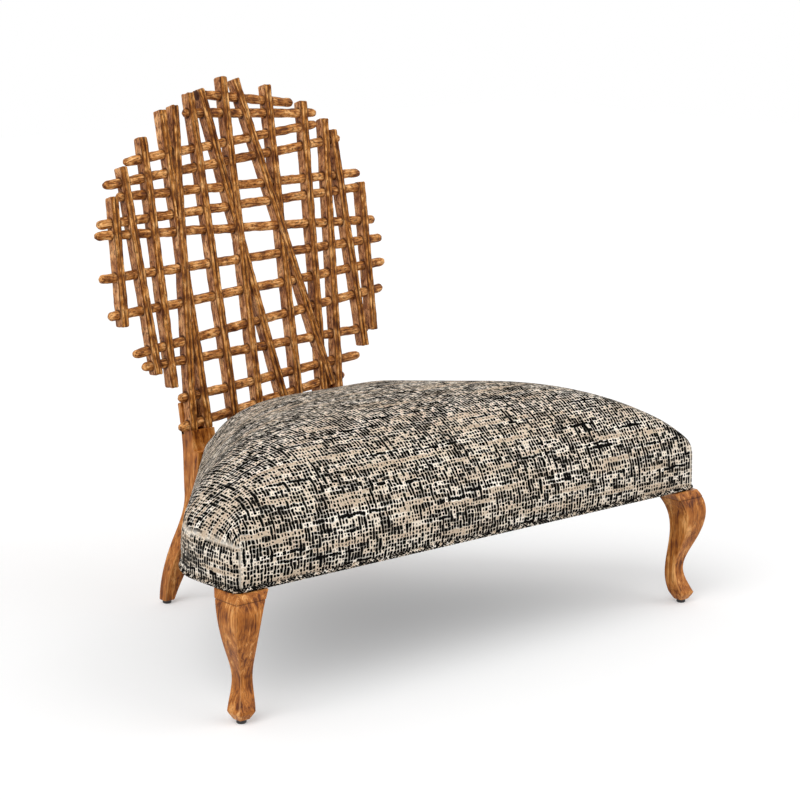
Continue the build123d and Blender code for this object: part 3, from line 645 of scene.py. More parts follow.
def leaning_row(x0, x1, up, front, shrink, arris, column):
    """A point of a post's row that lies square to the lean, and its grain, edge wear with painted highlight,
    and painted step shade.
    """
    flat, normal = round_rectangle(
        column, (x1 - x0) / 2 - shrink, (POST_TOP_DEPTH - front) / 2 - shrink, arris, LEG_COLUMNS)
    point = disc_centre + Vector(((x0 + x1) / 2 + flat.x, 0, 0)) + disc_up * up
    point += disc_back * ((POST_TOP_DEPTH + front) / 2 + flat.y)
    return point, point, min(abs(normal.x), abs(normal.y)) / sqrt(0.5), 0.0


def rear_leg_place(node):
    """The number of rows and the place function of a rear leg, and its post's two sides."""
    levels = [FOOT, FOOT + 1 * MM, *np.linspace(FOOT + 4 * MM, seat_base, 52)]
    levels += [*np.linspace(seat_base + 6 * MM, seam_height - 0.6 * MM, 12), seam_height + 0.6 * MM]
    levels += [*np.linspace(seam_height + 4 * MM, seam_height + 26 * MM, 5)]
    boxes = [level_box(node, max(z, FOOT + 0.2 * MM)) for z in levels]
    x0, x1 = boxes[-1][:2]
    # below the shoulder that carries the uprights, and how far each row is drawn in
    top_rows = [(2.0 * MM, 0.0), (0.6 * MM, 0.0), (0.0, 1.0 * MM)]

    def place(row, column):
        if row < len(levels):
            z = levels[row]
            arris = np.interp(z, [FOOT, 0.04, 0.1, seat_base], [4, 4, 2.6, 1.8]) * MM
            x, y, edge_wear_and_highlight = leg_row(boxes[row], arris, column, -FOOT_ROUND if row == 0 else 0.0)
            return Vector((x, y, z)), Vector((x, y, z)), edge_wear_and_highlight, 0.0
        below, shrink = top_rows[row - len(levels)]
        return leaning_row(x0, x1, SHOULDER_UP - below, 0.0, shrink, 1.8 * MM, column)

    return len(levels) + len(top_rows) - 1, place, (x0, x1)


def tongue_place(x0, x1):
    """The number of rows and the place function of the tongue behind the uprights."""
    ups = [SHOULDER_UP - 6 * MM, *np.linspace(SHOULDER_UP, TONGUE_TOP_UP - 2 * MM, 10), TONGUE_TOP_UP]

    def place(row, column):
        shrink = 1.2 * MM if row == len(ups) - 1 else 0.0
        return leaning_row(x0, x1, ups[row], TONGUE_FRONT, shrink, 1.5 * MM, column)

    return len(ups) - 1, place


def add_bmesh(bm, other):
    """Puts another bmesh's shape into this one."""
    spare = bpy.data.meshes.new("spare")
    other.to_mesh(spare)
    other.free()
    bm.from_mesh(spare)
    bpy.data.meshes.remove(spare)


# %% Both rear legs
rear_posts = []
for side in ("left", "right"):
    rows, place, (x0, x1) = rear_leg_place(f"rear_leg_{side}")
    bm = rolled_bar(rows, LEG_COLUMNS, place, ("edge_wear_and_highlight", "painted_step_shade"))
    rows, place = tongue_place(x0, x1)
    add_bmesh(bm, rolled_bar(rows, LEG_COLUMNS, place, ("edge_wear_and_highlight", "painted_step_shade")))
    rear_posts.append(
        finish_piece(f"sabre_leg_and_post_{side}", bm, leg_wood, [f"rear_leg_{side}"], sharp=50))
print("post:", round(x1 - x0, 3), "wide")

# %% [markdown]
# ## The tweed
# The cover is a heavy wool tweed: a cream ground with slubs in beige, over which black yarn
# floats in short dashes. The dashes sit in rows and columns some 7 mm apart, miss here and
# there, run together up the cloth in places, and give way to plain slub rows in others. The
# weave must follow the cloth, so it reads a UV map in metres that is laid like the real
# cloth: over the front and the top in one piece, and separately on the ends. Along the seams
# the black shows less, where the cloth is turned in.

# %% Woven wool tweed
def tweed_material(name, uv_map, warp, weft, black_share):
    """Cream and black tweed; warp and weft are the pitches of its columns and rows in metres."""
    material, tree, shader = new_material(name, Roughness=0.9, Specular_IOR_Level=0.02)
    cloth = add_node(tree, "UVMap", uv_map=uv_map)
    # the yarn wanders by about a millimetre
    drift = add_node(tree, "TexNoise", {"Vector": cloth, "Scale": 1 / (2.6 * warp), "Detail": 1.0},
                     noise_dimensions="2D")
    centred = add_node(tree, "VectorMath", {0: drift.outputs["Color"], 1: (-0.5,) * 3}, operation="ADD")
    drifted = add_node(tree, "VectorMath", {0: centred, 1: (0.8 * warp,) * 3, 2: cloth},
                       operation="MULTIPLY_ADD")
    cells = add_node(tree, "VectorMath", {0: drifted, 1: (1 / warp, 1 / weft, 0)}, operation="MULTIPLY")
    cell = add_node(tree, "VectorMath", {0: cells}, operation="FLOOR")
    number = add_node(tree, "SeparateXYZ", {0: cell})
    # each dash sits a little off the middle of its place in the weave
    chance = add_node(tree, "TexWhiteNoise", {"Vector": cell}, noise_dimensions="2D")
    nudge = add_node(tree, "VectorMath", {0: chance.outputs["Color"], 1: (0.26,) * 3, 2: (-0.63,) * 3},
                     operation="MULTIPLY_ADD")
    in_cell = add_node(tree, "VectorMath", {0: cells}, operation="FRACTION")
    nudged = add_node(tree, "VectorMath", {0: in_cell, 1: nudge}, operation="ADD")
    turns = add_node(tree, "VectorMath", {0: nudged, 1: (2 * pi,) * 3}, operation="MULTIPLY")
    phase = add_node(tree, "SeparateXYZ", {0: turns})
    wave_u = add_node(tree, "Math", {0: phase.outputs[0]}, operation="COSINE")
    wave_v = add_node(tree, "Math", {0: phase.outputs[1]}, operation="COSINE")
    # along a row the weft yarn swells into plain slubs; two or three columns together float the black warp
    row_number = add_node(tree, "Math", {0: number.outputs[1], 1: 11.37}, operation="MULTIPLY")
    row_seed = add_node(tree, "CombineXYZ", {1: row_number})
    row_place = add_node(tree, "VectorMath", {0: cells, 1: (0.055, 0, 0), 2: row_seed},
                         operation="MULTIPLY_ADD")
    row_yarn = add_node(tree, "TexNoise", {"Vector": row_place, "Scale": 1.0, "Detail": 0.0},
                        noise_dimensions="2D")
    column_seed = add_node(tree, "VectorMath", {0: cell, 1: (0.62, 0, 0)}, operation="MULTIPLY")
    column_place = add_node(tree, "VectorMath", {0: cells, 1: (0, 0.42, 0), 2: column_seed},
                            operation="MULTIPLY_ADD")
    column_yarn = add_node(tree, "TexNoise", {"Vector": column_place, "Scale": 1.0, "Detail": 0.0},
                           noise_dimensions="2D")
    region = add_node(tree, "TexNoise", {"Vector": cells, "Scale": 0.11, "Detail": 1.0},
                      noise_dimensions="2D")
    slub = add_node(tree, "MapRange", {"Value": row_yarn, "From Min": 0.22, "From Max": 0.32, "To Min": -0.46,
                                       "To Max": 0.0})
    # how far black draws in between two columns and between two rows; a float hardly draws in
    neck_u = add_node(tree, "MapRange", {"Value": row_yarn, "From Min": 0.66, "From Max": 0.84, "To Min": 0.5,
                                         "To Max": 0.36})
    neck_v = add_node(tree, "MapRange", {"Value": column_yarn, "From Min": 0.52, "From Max": 0.64,
                                         "To Min": 0.5, "To Max": 0.28})
    drawn_in = []
    for wave, neck in ((wave_u, neck_u), (wave_v, neck_v)):
        swing = add_node(tree, "Math", {0: wave, 1: neck, 2: 1.0}, operation="MULTIPLY_ADD")
        drawn_in.append(add_node(tree, "Math", {0: swing, 1: neck}, operation="SUBTRACT"))
    luck = chance.outputs["Value"]
    present = add_node(tree, "MapRange", {"Value": luck, "From Min": 0.02, "From Max": 0.22, "To Min": -0.62,
                                          "To Max": 0.0})
    swell = add_node(tree, "Math", {0: luck, 1: 0.22, 2: present}, operation="MULTIPLY_ADD")
    thinned = add_node(tree, "Math", {0: swell, 1: slub}, operation="ADD")
    dash = add_node(tree, "Math", {0: drawn_in[0], 1: drawn_in[1], 2: thinned}, operation="MULTIPLY_ADD")
    field = add_node(tree, "Math", {0: region, 1: 0.20, 2: dash}, operation="MULTIPLY_ADD")
    # black shows wherever this sum is over the level
    level = 0.27 - black_share
    black = add_node(tree, "MapRange", {"Value": field, "From Min": level - 0.07, "From Max": level + 0.10})
    # fibres about a millimetre thick break up both yarns
    fibres = add_node(tree, "TexNoise", {"Vector": cloth, "Scale": 1 / (1.3 * MM), "Detail": 1.0},
                      noise_dimensions="2D")
    tone = add_node(tree, "Math", {0: fibres, 1: 0.56, 2: -0.03}, operation="MULTIPLY_ADD")
    for part, share in ((row_yarn, 0.50), (luck, 0.10)):
        tone = add_node(tree, "Math", {0: part, 1: share, 2: tone}, operation="MULTIPLY_ADD")
    ground = add_node(tree, "ValToRGB", {"Fac": tone}, steps=[
        (0.32, "#BBA58E"), (0.43, "#D0BDA6"), (0.55, "#E5D8C6"), (0.70, "#FBF4E9")])
    ink = add_node(tree, "ValToRGB", {"Fac": fibres}, steps=[(0.40, "#020202"), (0.80, "#171514")])
    seam = add_node(tree, "Attribute", attribute_name="seam")
    off_seam = add_node(tree, "Math", {0: seam.outputs["Fac"], 1: -0.75, 2: 1.0}, operation="MULTIPLY_ADD")
    shown_black = add_node(tree, "Math", {0: black, 1: off_seam}, operation="MULTIPLY")
    woven = add_node(tree, "Mix", {"Factor": shown_black, 6: ground, 7: ink}, data_type="RGBA")
    rounds = add_node(tree, "Math", {0: wave_v, 1: wave_u}, operation="ADD")
    height = add_node(tree, "Math", {0: rounds, 1: 0.35, 2: fibres}, operation="MULTIPLY_ADD")
    link_surface(tree, shader, height, 0.4, 0.8 * MM, Base_Color=woven.outputs[2])
    return material


tweed = tweed_material("woven wool tweed", "cloth", 7.2 * MM, 7.4 * MM, 0.0)
print("tweed:", len(tweed.node_tree.nodes), "nodes")

# %% [markdown]
# ## The form of the seat
# The seat is one upholstered form: an upright band all round, and a crown that rises over it
# like a low loaf. The frame's cover has that form in flat steps. Rays sent down onto it read
# its height everywhere; the heights are smoothed more the farther they lie from the edge,
# which keeps the tight turn at the rim.

# %% Rays onto the frame's cover
bm = bmesh.new()
bm.from_mesh(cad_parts["seat_cover"].data)
cover_tree = BVHTree.FromBMesh(bm)
bm.free()
GRID = 5 * MM
# rays start this far out, and stay this far inside the front and back edges
FAR, EDGE_MARGIN = 2.0, 0.02 * MM
grid_x = np.arange(0, seat_half + GRID, GRID)
grid_y = np.arange(0, seat_depth + GRID / 2, GRID)


def half_width(y):
    """Half the seat's width, y behind its front edge."""
    y = min(max(y, EDGE_MARGIN), seat_depth - EDGE_MARGIN)
    return cover_tree.ray_cast(Vector((FAR, seat_front + y, seam_height - 20 * MM)), Vector((-1, 0, 0)))[0].x


def crown_height(x, y):
    """The height of the frame's crown, or of its rim outside it."""
    hit = cover_tree.ray_cast(Vector((x, seat_front + y, FAR)), Vector((0, 0, -1)))[0]
    return hit.z if hit and hit.z > seam_height else seam_height


raw = np.array([[crown_height(x, y) for y in grid_y] for x in grid_x])
rim = np.array([[min(y, seat_depth - y, (half_width(y) - x) * 0.8) for y in grid_y] for x in grid_x])


# %% Smoothed heights and lengths of cloth
def blurred(values, passes):
    """Each pass mixes every point with its four neighbours; the middle line mirrors."""
    for _ in range(passes):
        padded = np.pad(values, 1, mode="edge")
        padded[0] = padded[2]
        beside = padded[:-2, 1:-1] + padded[2:, 1:-1] + padded[1:-1, :-2] + padded[1:-1, 2:]
        values = beside / 8 + values / 2
    return values


near, far = blurred(raw, 3), blurred(raw, 40)
mix_near = np.clip((rim - 10 * MM) / (20 * MM), 0, 1)
mix_far = np.clip((rim - 30 * MM) / (70 * MM), 0, 1)
heights = raw * (1 - mix_near) + near * mix_near
heights = heights * (1 - mix_far) + far * mix_far
# how far the cloth runs from the middle (u) and from the front edge (v) to each grid point
slope_x, slope_y = np.gradient(heights, GRID)
cloth_u = np.cumsum(np.sqrt(1 + slope_x**2), axis=0) * GRID
cloth_u -= cloth_u[0]
cloth_v = np.cumsum(np.sqrt(1 + slope_y**2), axis=1) * GRID
cloth_v -= cloth_v[:, :1]
print("crown:", round(heights.max() - seam_height, 4), "high")
print("cloth from front to back:", round(cloth_v[0, -1], 3))


# %% Reading between the grid's points
def read_grid(values, x, y):
    """A grid's value at a point, with x from the middle and y from the front edge."""
    i, j = min(abs(x) / GRID, len(grid_x) - 1.001), min(max(y / GRID, 0), len(grid_y) - 1.001)
    a, b = int(i), int(j)
    s, t = i - a, j - b
    return ((values[a, b] * (1 - t) + values[a, b + 1] * t) * (1 - s)
            + (values[a + 1, b] * (1 - t) + values[a + 1, b + 1] * t) * s)


# %% [markdown]
# ## The seat's cloth cover
# The plan has four sides, so a grid fits it with good faces all over: its lines are set
# close together at the rim, where the cloth turns. Extruding the grid's open edge downwards
# gives the band, and a last inward step gives the hem. The loops get their UVs here, while
# it is still known which panel a face belongs to: front and top are one piece of cloth, and
# the ends and the back are others.

# %% Grid lines
EDGE_STEPS = [0, 2, 4, 7, 10, 14, 19, 25, 32, 40, 49, 59, 71, 85]


def grid_lines(length, stretch, widest):
    """Distances from an edge: close together there, then at most widest apart."""
    lines = [step * stretch * MM for step in EDGE_STEPS]
    rest = length - lines[-1]
    count = int(np.ceil(rest / widest))
    return lines + [lines[-1] + rest * (i + 1) / count for i in range(count)]


side_lines = grid_lines(seat_half, 1.3, 18 * MM)
shares = [1 - d / seat_half for d in side_lines]
share_lines = [-s for s in shares] + shares[-2::-1]
front_lines = grid_lines(seat_depth / 2, 1.0, 16 * MM)
depth_lines = front_lines + [seat_depth - d for d in front_lines[-2::-1]]
columns, rows = len(share_lines) - 1, len(depth_lines) - 1
print("grid:", columns, "by", rows, "faces")

# %% Top and band
bm = bmesh.new()
bmesh.ops.create_grid(bm, x_segments=columns, y_segments=rows, size=0.5)
column_of, row_of = bm.verts.layers.int.new("column"), bm.verts.layers.int.new("row")
for v in bm.verts:
    v[column_of], v[row_of] = round((v.co.x + 0.5) * columns), round((v.co.y + 0.5) * rows)
    y = depth_lines[v[row_of]]
    x = share_lines[v[column_of]] * half_width(y)
    on_rim = v[column_of] in (0, columns) or v[row_of] in (0, rows)
    v.co = (x, seat_front + y, seam_height if on_rim else read_grid(heights, x, y))
rim_edges = [e for e in bm.edges if e.is_boundary]
# how far the cloth runs round the side, from the front edge to each row
side_points = [(half_width(y), y) for y in depth_lines]
side_run = [0.0]
for (x_before, y_before), (x_after, y_after) in zip(side_points, side_points[1:]):
    side_run.append(side_run[-1] + sqrt((x_after - x_before) ** 2 + (y_after - y_before) ** 2))
# levels of the band, and how far in the low edge is drawn
band_levels = [(78, 0), (72, 0), (62, 0), (50, 0), (38, 0), (27, 0), (18, 0), (11, 1.5), (6, 3.5), (3, 5),
               (1, 9), (1, 28)]
open_edges = rim_edges
for level, inset in band_levels:
    grown = bmesh.ops.extrude_edge_only(bm, edges=open_edges)["geom"]
    open_edges = [g for g in grown if isinstance(g, bmesh.types.BMEdge)]
    for v in (g for g in grown if isinstance(g, bmesh.types.BMVert)):
        y = depth_lines[v[row_of]]
        x = share_lines[v[column_of]] * half_width(y)
        v.co.x = x * (1 - inset * MM / seat_half)
        v.co.y = seat_front + inset * MM + y * (1 - 2 * inset * MM / seat_depth)
        v.co.z = seat_base + level * MM
    open_edges = [e for e in open_edges if e.is_boundary]
bmesh.ops.recalc_face_normals(bm, faces=bm.faces)
if max(bm.faces, key=lambda f: f.calc_center_median().z).normal.z < 0:
    bmesh.ops.reverse_faces(bm, faces=bm.faces)
print("cover:", len(bm.faces), "faces, open below for now")

# %% Cloth coordinates
# the panels lie metres apart on the cloth, so no two of them show the same stretch of it
RIGHT_END, LEFT_END, BACK_PANEL = 3, 6, 12
cloth_map = bm.loops.layers.uv.new("cloth")
for face in bm.faces:
    in_rows, in_columns = {v[row_of] for v in face.verts}, {v[column_of] for v in face.verts}
    is_top = len(in_rows) > 1 and len(in_columns) > 1
    for loop in face.loops:
        x, y, z = loop.vert.co
        if is_top:
            u = read_grid(cloth_u, x, y - seat_front)
            place = (u if x > 0 else -u, seam_height - seat_base + read_grid(cloth_v, x, y - seat_front))
        elif in_rows == {0}:
            place = (x, z - seat_base)
        elif in_rows == {rows}:
            place = (x + BACK_PANEL, z - seat_base)
        else:
            place = (side_run[loop.vert[row_of]] + (RIGHT_END if x > 0 else LEFT_END), z - seat_base)
        loop[cloth_map].uv = place
print("cloth coordinates on", len(bm.faces), "faces")

# %% [markdown]
# ## Padding under the cover
# Foam and wadding press the cover outwards, so it stands a few millimetres proud between its
# seams and is held at its tacked low edge. Blender's Cloth with a little pressure does this:
# the form starts slightly small, the low edge is pinned, and no point may move farther than
# the cap. The seams are drawn in afterwards, where the needle pulls the cloth down. One
# subdivision then rounds the cover, and one wide face closes it from below.

# %% Puffed cover
START_SMALLER, CAP, NEEDLE_PULL = 2.0 * MM, 6.0 * MM, 1.6 * MM
TACKED_BELOW = seat_base + 12 * MM
is_seam = bm.verts.layers.float.new("seam")
for v in bm.verts:
    on_side = v[column_of] in (0, columns)
    at_rim = abs(v.co.z - seam_height) < 0.5 * MM and (on_side or v[row_of] == rows)
    corner = on_side and v[row_of] in (0, rows) and v.co.z < seam_height + 0.5 * MM
    v[is_seam] = 1.0 if at_rim or corner else 0.0
for v in bm.verts:
    if v.co.z > TACKED_BELOW:
        v.co -= v.normal * START_SMALLER
seat_mesh = bpy.data.meshes.new("upholstered_seat")
bm.to_mesh(seat_mesh)
bm.free()
seat = bpy.data.objects.new("upholstered_seat", seat_mesh)
bpy.context.collection.objects.link(seat)
pins = seat.vertex_groups.new(name="tacked edge")
pins.add([v.index for v in seat_mesh.vertices if v.co.z < TACKED_BELOW], 1.0, "REPLACE")
cloth = seat.modifiers.new("cover", "CLOTH")
cloth.settings.use_pressure = True
cloth.settings.uniform_pressure_force = 4.0
cloth.settings.vertex_group_mass = "tacked edge"
cloth.settings.effector_weights.gravity = 0.0
cloth.settings.tension_stiffness = cloth.settings.compression_stiffness = 25
cloth.settings.shear_stiffness = 10
cloth.settings.bending_stiffness = 1.0
for number in range(1, 21):
    bpy.context.scene.frame_set(number)
shaped = seat.evaluated_get(bpy.context.evaluated_depsgraph_get()).data
moved = np.array([v.co for v in shaped.vertices])
seat.modifiers.remove(cloth)
bpy.context.scene.frame_set(1)
start = np.array([v.co for v in seat_mesh.vertices])
step = moved - start
length = np.linalg.norm(step, axis=1, keepdims=True)
step *= np.minimum(1.0, CAP / np.maximum(length, 1e-9))
print("cover moved:", round(length.mean() / MM, 2), "mm on average, at most", round(length.max() / MM, 2))
seat_mesh.vertices.foreach_set("co", (start + step).ravel())
seat_mesh.update()
bm = bmesh.new()
bm.from_mesh(seat_mesh)
is_seam = bm.verts.layers.float["seam"]
for v in bm.verts:
    if v[is_seam] > 0 and v.co.z > TACKED_BELOW:
        v.co -= v.normal * NEEDLE_PULL
bm.to_mesh(seat_mesh)
bm.free()

# %% Rounded and closed cover
seat_mesh.shade_smooth()
seat_mesh.materials.append(tweed)
rounder = seat.modifiers.new("rounder", "SUBSURF")
rounder.levels = rounder.render_levels = 1
seat.data = bpy.data.meshes.new_from_object(seat.evaluated_get(bpy.context.evaluated_depsgraph_get()))
seat.modifiers.remove(rounder)
# one wide face closes the form from below, now that nothing has to subdivide it
bm = bmesh.new()
bm.from_mesh(seat.data)
bmesh.ops.edgeloop_fill(bm, edges=[e for e in bm.edges if e.is_boundary])
bmesh.ops.recalc_face_normals(bm, faces=bm.faces)
bm.to_mesh(seat.data)
bm.free()
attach(seat, "root")
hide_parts("seat_cover", "seat_foam", "band_padding")
print("seat:", len(seat.data.polygons), "faces")

# %% [markdown]
# ## The twisted welt
# A welt covers the tacks along the low edge: a cord wrapped in the same tweed on the cross,
# so its dashes run round it at a slant. It is a rolled bar whose two ends meet, with a UV
# map laid along its length.

# %% Welt
WELT_RADIUS, WELT_COLUMNS, WELT_STEP = 4.4 * MM, 12, 4 * MM
WELT_TWIST, WELT_SUNK = 19 * MM, 2.2 * MM
welt_z = seat_base + WELT_RADIUS + 0.2 * MM
plan = [(half_width(y), seat_front + y) for y in depth_lines]
left_side = [(-x, y) for x, y in reversed(plan)]
plan += [(x, seat_front + seat_depth) for x in np.linspace(plan[-1][0], -plan[-1][0], 60)[1:-1]]
plan += left_side
plan += [(x, seat_front) for x in np.linspace(-plan[0][0], plan[0][0], 180)[1:-1]]
closed = np.array([*plan, plan[0]])
lengths = np.concatenate([[0], np.cumsum(np.linalg.norm(np.diff(closed, axis=0), axis=1))])
welt_rows = int(lengths[-1] / WELT_STEP)
runs = np.linspace(0, lengths[-1], welt_rows, endpoint=False)
welt_line = np.stack([np.interp(runs, lengths, closed[:, k]) for k in (0, 1)], axis=1)
for _ in range(6):
    welt_line = (np.roll(welt_line, 1, 0) + np.roll(welt_line, -1, 0)) / 4 + welt_line / 2
tangent = np.roll(welt_line, -1, 0) - np.roll(welt_line, 1, 0)
tangent /= np.linalg.norm(tangent, axis=1, keepdims=True)
outwards = np.stack([tangent[:, 1], -tangent[:, 0]], axis=1)


def welt_place(row, column):
    """A point of the welt, and where it lies on the cord: along it and round it."""
    angle = 2 * pi * column / WELT_COLUMNS
    twist = angle - 2 * pi * runs[row] / WELT_TWIST
    radius = WELT_RADIUS * (1 + 0.07 * cos(2 * twist) + 0.04 * wobble(9 * MM, runs[row], column))
    x, y = welt_line[row] + outwards[row] * (radius * cos(angle) - WELT_SUNK)
    around = angle * WELT_RADIUS
    return Vector((x, y, welt_z + radius * sin(angle))), Vector((runs[row], around, 0))


bm = rolled_bar(welt_rows, WELT_COLUMNS, welt_place, ring=True)
grain = bm.verts.layers.float_vector["grain"]
bias_map = bm.loops.layers.uv.new("bias")
turn_round = 2 * pi * WELT_RADIUS
for face in bm.faces:
    first = Vector(face.loops[0].vert[grain])
    for loop in face.loops:
        along, around = loop.vert[grain].x, loop.vert[grain].y
        along += lengths[-1] * round((first.x - along) / lengths[-1])
        around += turn_round * round((first.y - around) / turn_round)
        # cut on the cross: the cloth lies at 45 degrees to the cord
        loop[bias_map].uv = ((along + around) * sqrt(0.5), (along - around) * sqrt(0.5))
welt_tweed = tweed_material("tweed cut on the cross", "bias", 5.0 * MM, 5.0 * MM, 0.1)
finish_piece("twisted_welt", bm, welt_tweed, ["bottom_welt"], sharp=80)
print("welt:", round(float(lengths[-1]), 2), "m round the seat")

# %% [markdown]
# ## Dust cloth
# A dust cloth is stapled under the rails and closes the seat from below. It is one flat
# sheet, cut round the front legs, that sags a little in the middle. A grid laid out on the
# seat's plan makes it, bisect_plane cuts the two notches clean, and solidify gives the
# millimetre of spun-bonded cloth.

# %% Spun-bonded cloth
# spun-bonded polypropylene: pressed fibres with no weave, so a dull, faintly mottled black
spun_bonded, tree, shader = new_material("black spun-bonded polypropylene", Roughness=0.85,
                                         Specular_IOR_Level=0.25)
place = add_node(tree, "TexCoord").outputs["Object"]
# fibre clumps of 1.5 mm and a bonded dot every 3 mm
clumps = add_node(tree, "TexNoise", {"Vector": place, "Scale": 1 / (1.5 * MM), "Detail": 3.0})
dots = add_node(tree, "TexVoronoi", {"Vector": place, "Scale": 1 / (3 * MM), "Randomness": 0.1})
mottle = add_node(tree, "ValToRGB", {"Fac": clumps}, steps=[(0.35, "#141415"), (0.70, "#26262A")])
pressed = add_node(tree, "Math", {0: dots, 1: clumps}, operation="ADD")
link_surface(tree, shader, pressed, 0.35, 0.4 * MM, Base_Color=mottle)

# %% Dust cloth
CLOTH_INSET, CLOTH_SAG, NOTCH = 14 * MM, 3 * MM, 69 * MM
cloth_depth = seat_depth - 2 * CLOTH_INSET
bm = bmesh.new()
bmesh.ops.create_grid(bm, x_segments=48, y_segments=32, size=0.5)
for v in bm.verts:
    across, along = 2 * v.co.x, v.co.y + 0.5
    x = across * (half_width(CLOTH_INSET + along * cloth_depth) - CLOTH_INSET)
    sag = CLOTH_SAG * (1 - across**2) * (1 - (2 * along - 1) ** 2)
    v.co = Vector((x, seat_front + CLOTH_INSET + along * cloth_depth, seat_base - 0.2 * MM - sag))
notch_x, notch_y = seat_half - NOTCH, seat_front + NOTCH - 4 * MM
cuts = [((notch_x, 0, 0), (1, 0, 0)), ((-notch_x, 0, 0), (1, 0, 0)), ((0, notch_y, 0), (0, 1, 0))]
for point, normal in cuts:
    bmesh.ops.bisect_plane(bm, geom=[*bm.verts, *bm.edges, *bm.faces], plane_co=point, plane_no=normal)
middles = {f: f.calc_center_median() for f in bm.faces}
notched = [f for f, middle in middles.items() if abs(middle.x) > notch_x and middle.y < notch_y]
bmesh.ops.delete(bm, geom=notched, context="FACES")
for f in bm.faces:
    if f.normal.z > 0:
        f.normal_flip()
cloth_area = sum(f.calc_area() for f in bm.faces)
dust_cloth = finish_piece("dust_cloth", bm, spun_bonded, ["dust_cover"])
thick = dust_cloth.modifiers.new("cloth thickness", "SOLIDIFY")
thick.thickness, thick.offset = 0.8 * MM, 1.0
print("dust cloth:", round(cloth_area, 3), "square metres")

# %% [markdown]
# ## Plugs and screws on the posts' backs
# The bolts that hold the posts to the seat lie in deep holes, and a turned wooden plug
# closes each. Two screws on each side hold the lattice to the posts, and show their heads.
# Both are small turned forms: a rolled bar whose rows are the rings of the profile. A ray
# sent from behind finds the post's back, and the form is set on it.

# %% Turned forms
post_trees = [BVHTree.FromObject(post, bpy.context.evaluated_depsgraph_get()) for post in rear_posts]


def middles_of(node, size):
    """The middles of a node's loose parts, as points farther apart than the given size."""
    found = []
    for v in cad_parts[node].data.vertices:
        near = [g for g in found if (g[0] - v.co).length < size]
        if near:
            near[0][1].append(v.co)
        else:
            found.append((v.co.copy(), [v.co]))
    return [(Vector(map(min, zip(*g[1]))) + Vector(map(max, zip(*g[1])))) / 2 for g in found]


def on_back(middle):
    """Where a ray from behind meets a post at a point's place, and the surface's direction there."""
    for tree in post_trees:
        hit, normal, *_ = tree.ray_cast(Vector((middle.x, 1, middle.z)), Vector((0, -1, 0)))
        if hit:
            return hit, normal
    raise ValueError("no post lies there")


def turned(profile, hit, normal, columns, cross=None):
    """A turned form with rings of (radius, height) on a surface. cross, for a screw's recess, gives
    its half width, its reach and its depth."""
    side = normal.orthogonal().normalized()
    up = normal.cross(side)

    def place(row, column):
        radius, height = profile[row]
        angle = 2 * pi * column / columns
        x, y = radius * cos(angle), radius * sin(angle)
        if cross and min(abs(x), abs(y)) < cross[0] and max(abs(x), abs(y)) < cross[1]:
            height -= cross[2]
        return hit + side * x + up * y + normal * height, Vector((x, y, height))

    return rolled_bar(len(profile) - 1, columns, place)


# %% Bolt plugs
# the profile from the hidden end to the middle of the button, in millimetres
PLUG_PROFILE = [(8.3, -3), (8.3, 0.3), (8.0, 0.9), (7.2, 1.4), (5.6, 1.8), (3.6, 2.1), (1.6, 2.2), (0.2, 2.2)]
plug_rings = [(r * MM, h * MM) for r, h in PLUG_PROFILE]
bm = bmesh.new()
for middle in middles_of("bolt_plugs", 22 * MM):
    add_bmesh(bm, turned(plug_rings, *on_back(middle), 32))
plugs = finish_piece("bolt_plug_buttons", bm, leg_wood, ["bolt_plugs"])

# %% Screw heads
# zinc-plated steel: thin bright plating over drawn steel, blue-grey, with fine scratches
zinc, tree, shader = new_material("zinc-plated steel", Metallic=1.0, Roughness=0.34)
place = add_node(tree, "TexCoord").outputs["Object"]
drawn = add_node(tree, "Mapping", {"Vector": place, "Scale": (1, 1, 0.2)})
# scratches 0.4 mm wide and a spangle of 3 mm
scratches = add_node(tree, "TexNoise", {"Vector": drawn, "Scale": 1 / (0.4 * MM), "Detail": 2.0})
spangle = add_node(tree, "TexNoise", {"Vector": place, "Scale": 1 / (3 * MM), "Detail": 1.0})
plating = add_node(tree, "ValToRGB", {"Fac": spangle}, steps=[(0.35, "#8C9399"), (0.65, "#B4BABD")])
tree.links.new(plating.outputs[0], shader.inputs["Base Color"])
dulled = add_node(tree, "MapRange", {"Value": scratches, "To Min": 0.24, "To Max": 0.46})
tree.links.new(dulled.outputs[0], shader.inputs["Roughness"])
# the profile from the shank to the middle of the head, in millimetres
SCREW_PROFILE = [(2.6, -4), (3.9, -0.2), (3.9, 0.5), (3.5, 0.9), (3.1, 1.1), (2.8, 1.2), (2.5, 1.28),
                 (2.2, 1.34), (1.9, 1.4), (1.6, 1.43), (1.3, 1.46), (1.0, 1.48), (0.7, 1.5), (0.4, 1.5),
                 (0.1, 1.5)]
screw_rings = [(r * MM, h * MM) for r, h in SCREW_PROFILE]
bm = bmesh.new()
for middle in middles_of("lattice_screws", 45 * MM):
    add_bmesh(bm, turned(screw_rings, *on_back(middle), 48, cross=(0.5 * MM, 2.3 * MM, 1.1 * MM)))
screws = finish_piece("lattice_screw_heads", bm, zinc, ["lattice_screws"])
print("plugs and screws:", len(plugs.data.polygons), "and", len(screws.data.polygons), "faces")

# %% [markdown]
# ## What stays as the frame has it
# The rails, dowels, webs, deck, bolts and glides already have the right shape, so they stay
# and only get a material. Each is a few noises scaled from the real fibre or grain, read
# from Object coordinates.

# %% Beech
# planed beech: pale and even, with small dark flecks that run along the grain
beech, tree, shader = new_material("planed beech", Roughness=0.62)
place = add_node(tree, "TexCoord").outputs["Object"]
grain_run = add_node(tree, "Mapping", {"Vector": place, "Scale": (0.08, 1, 1)})
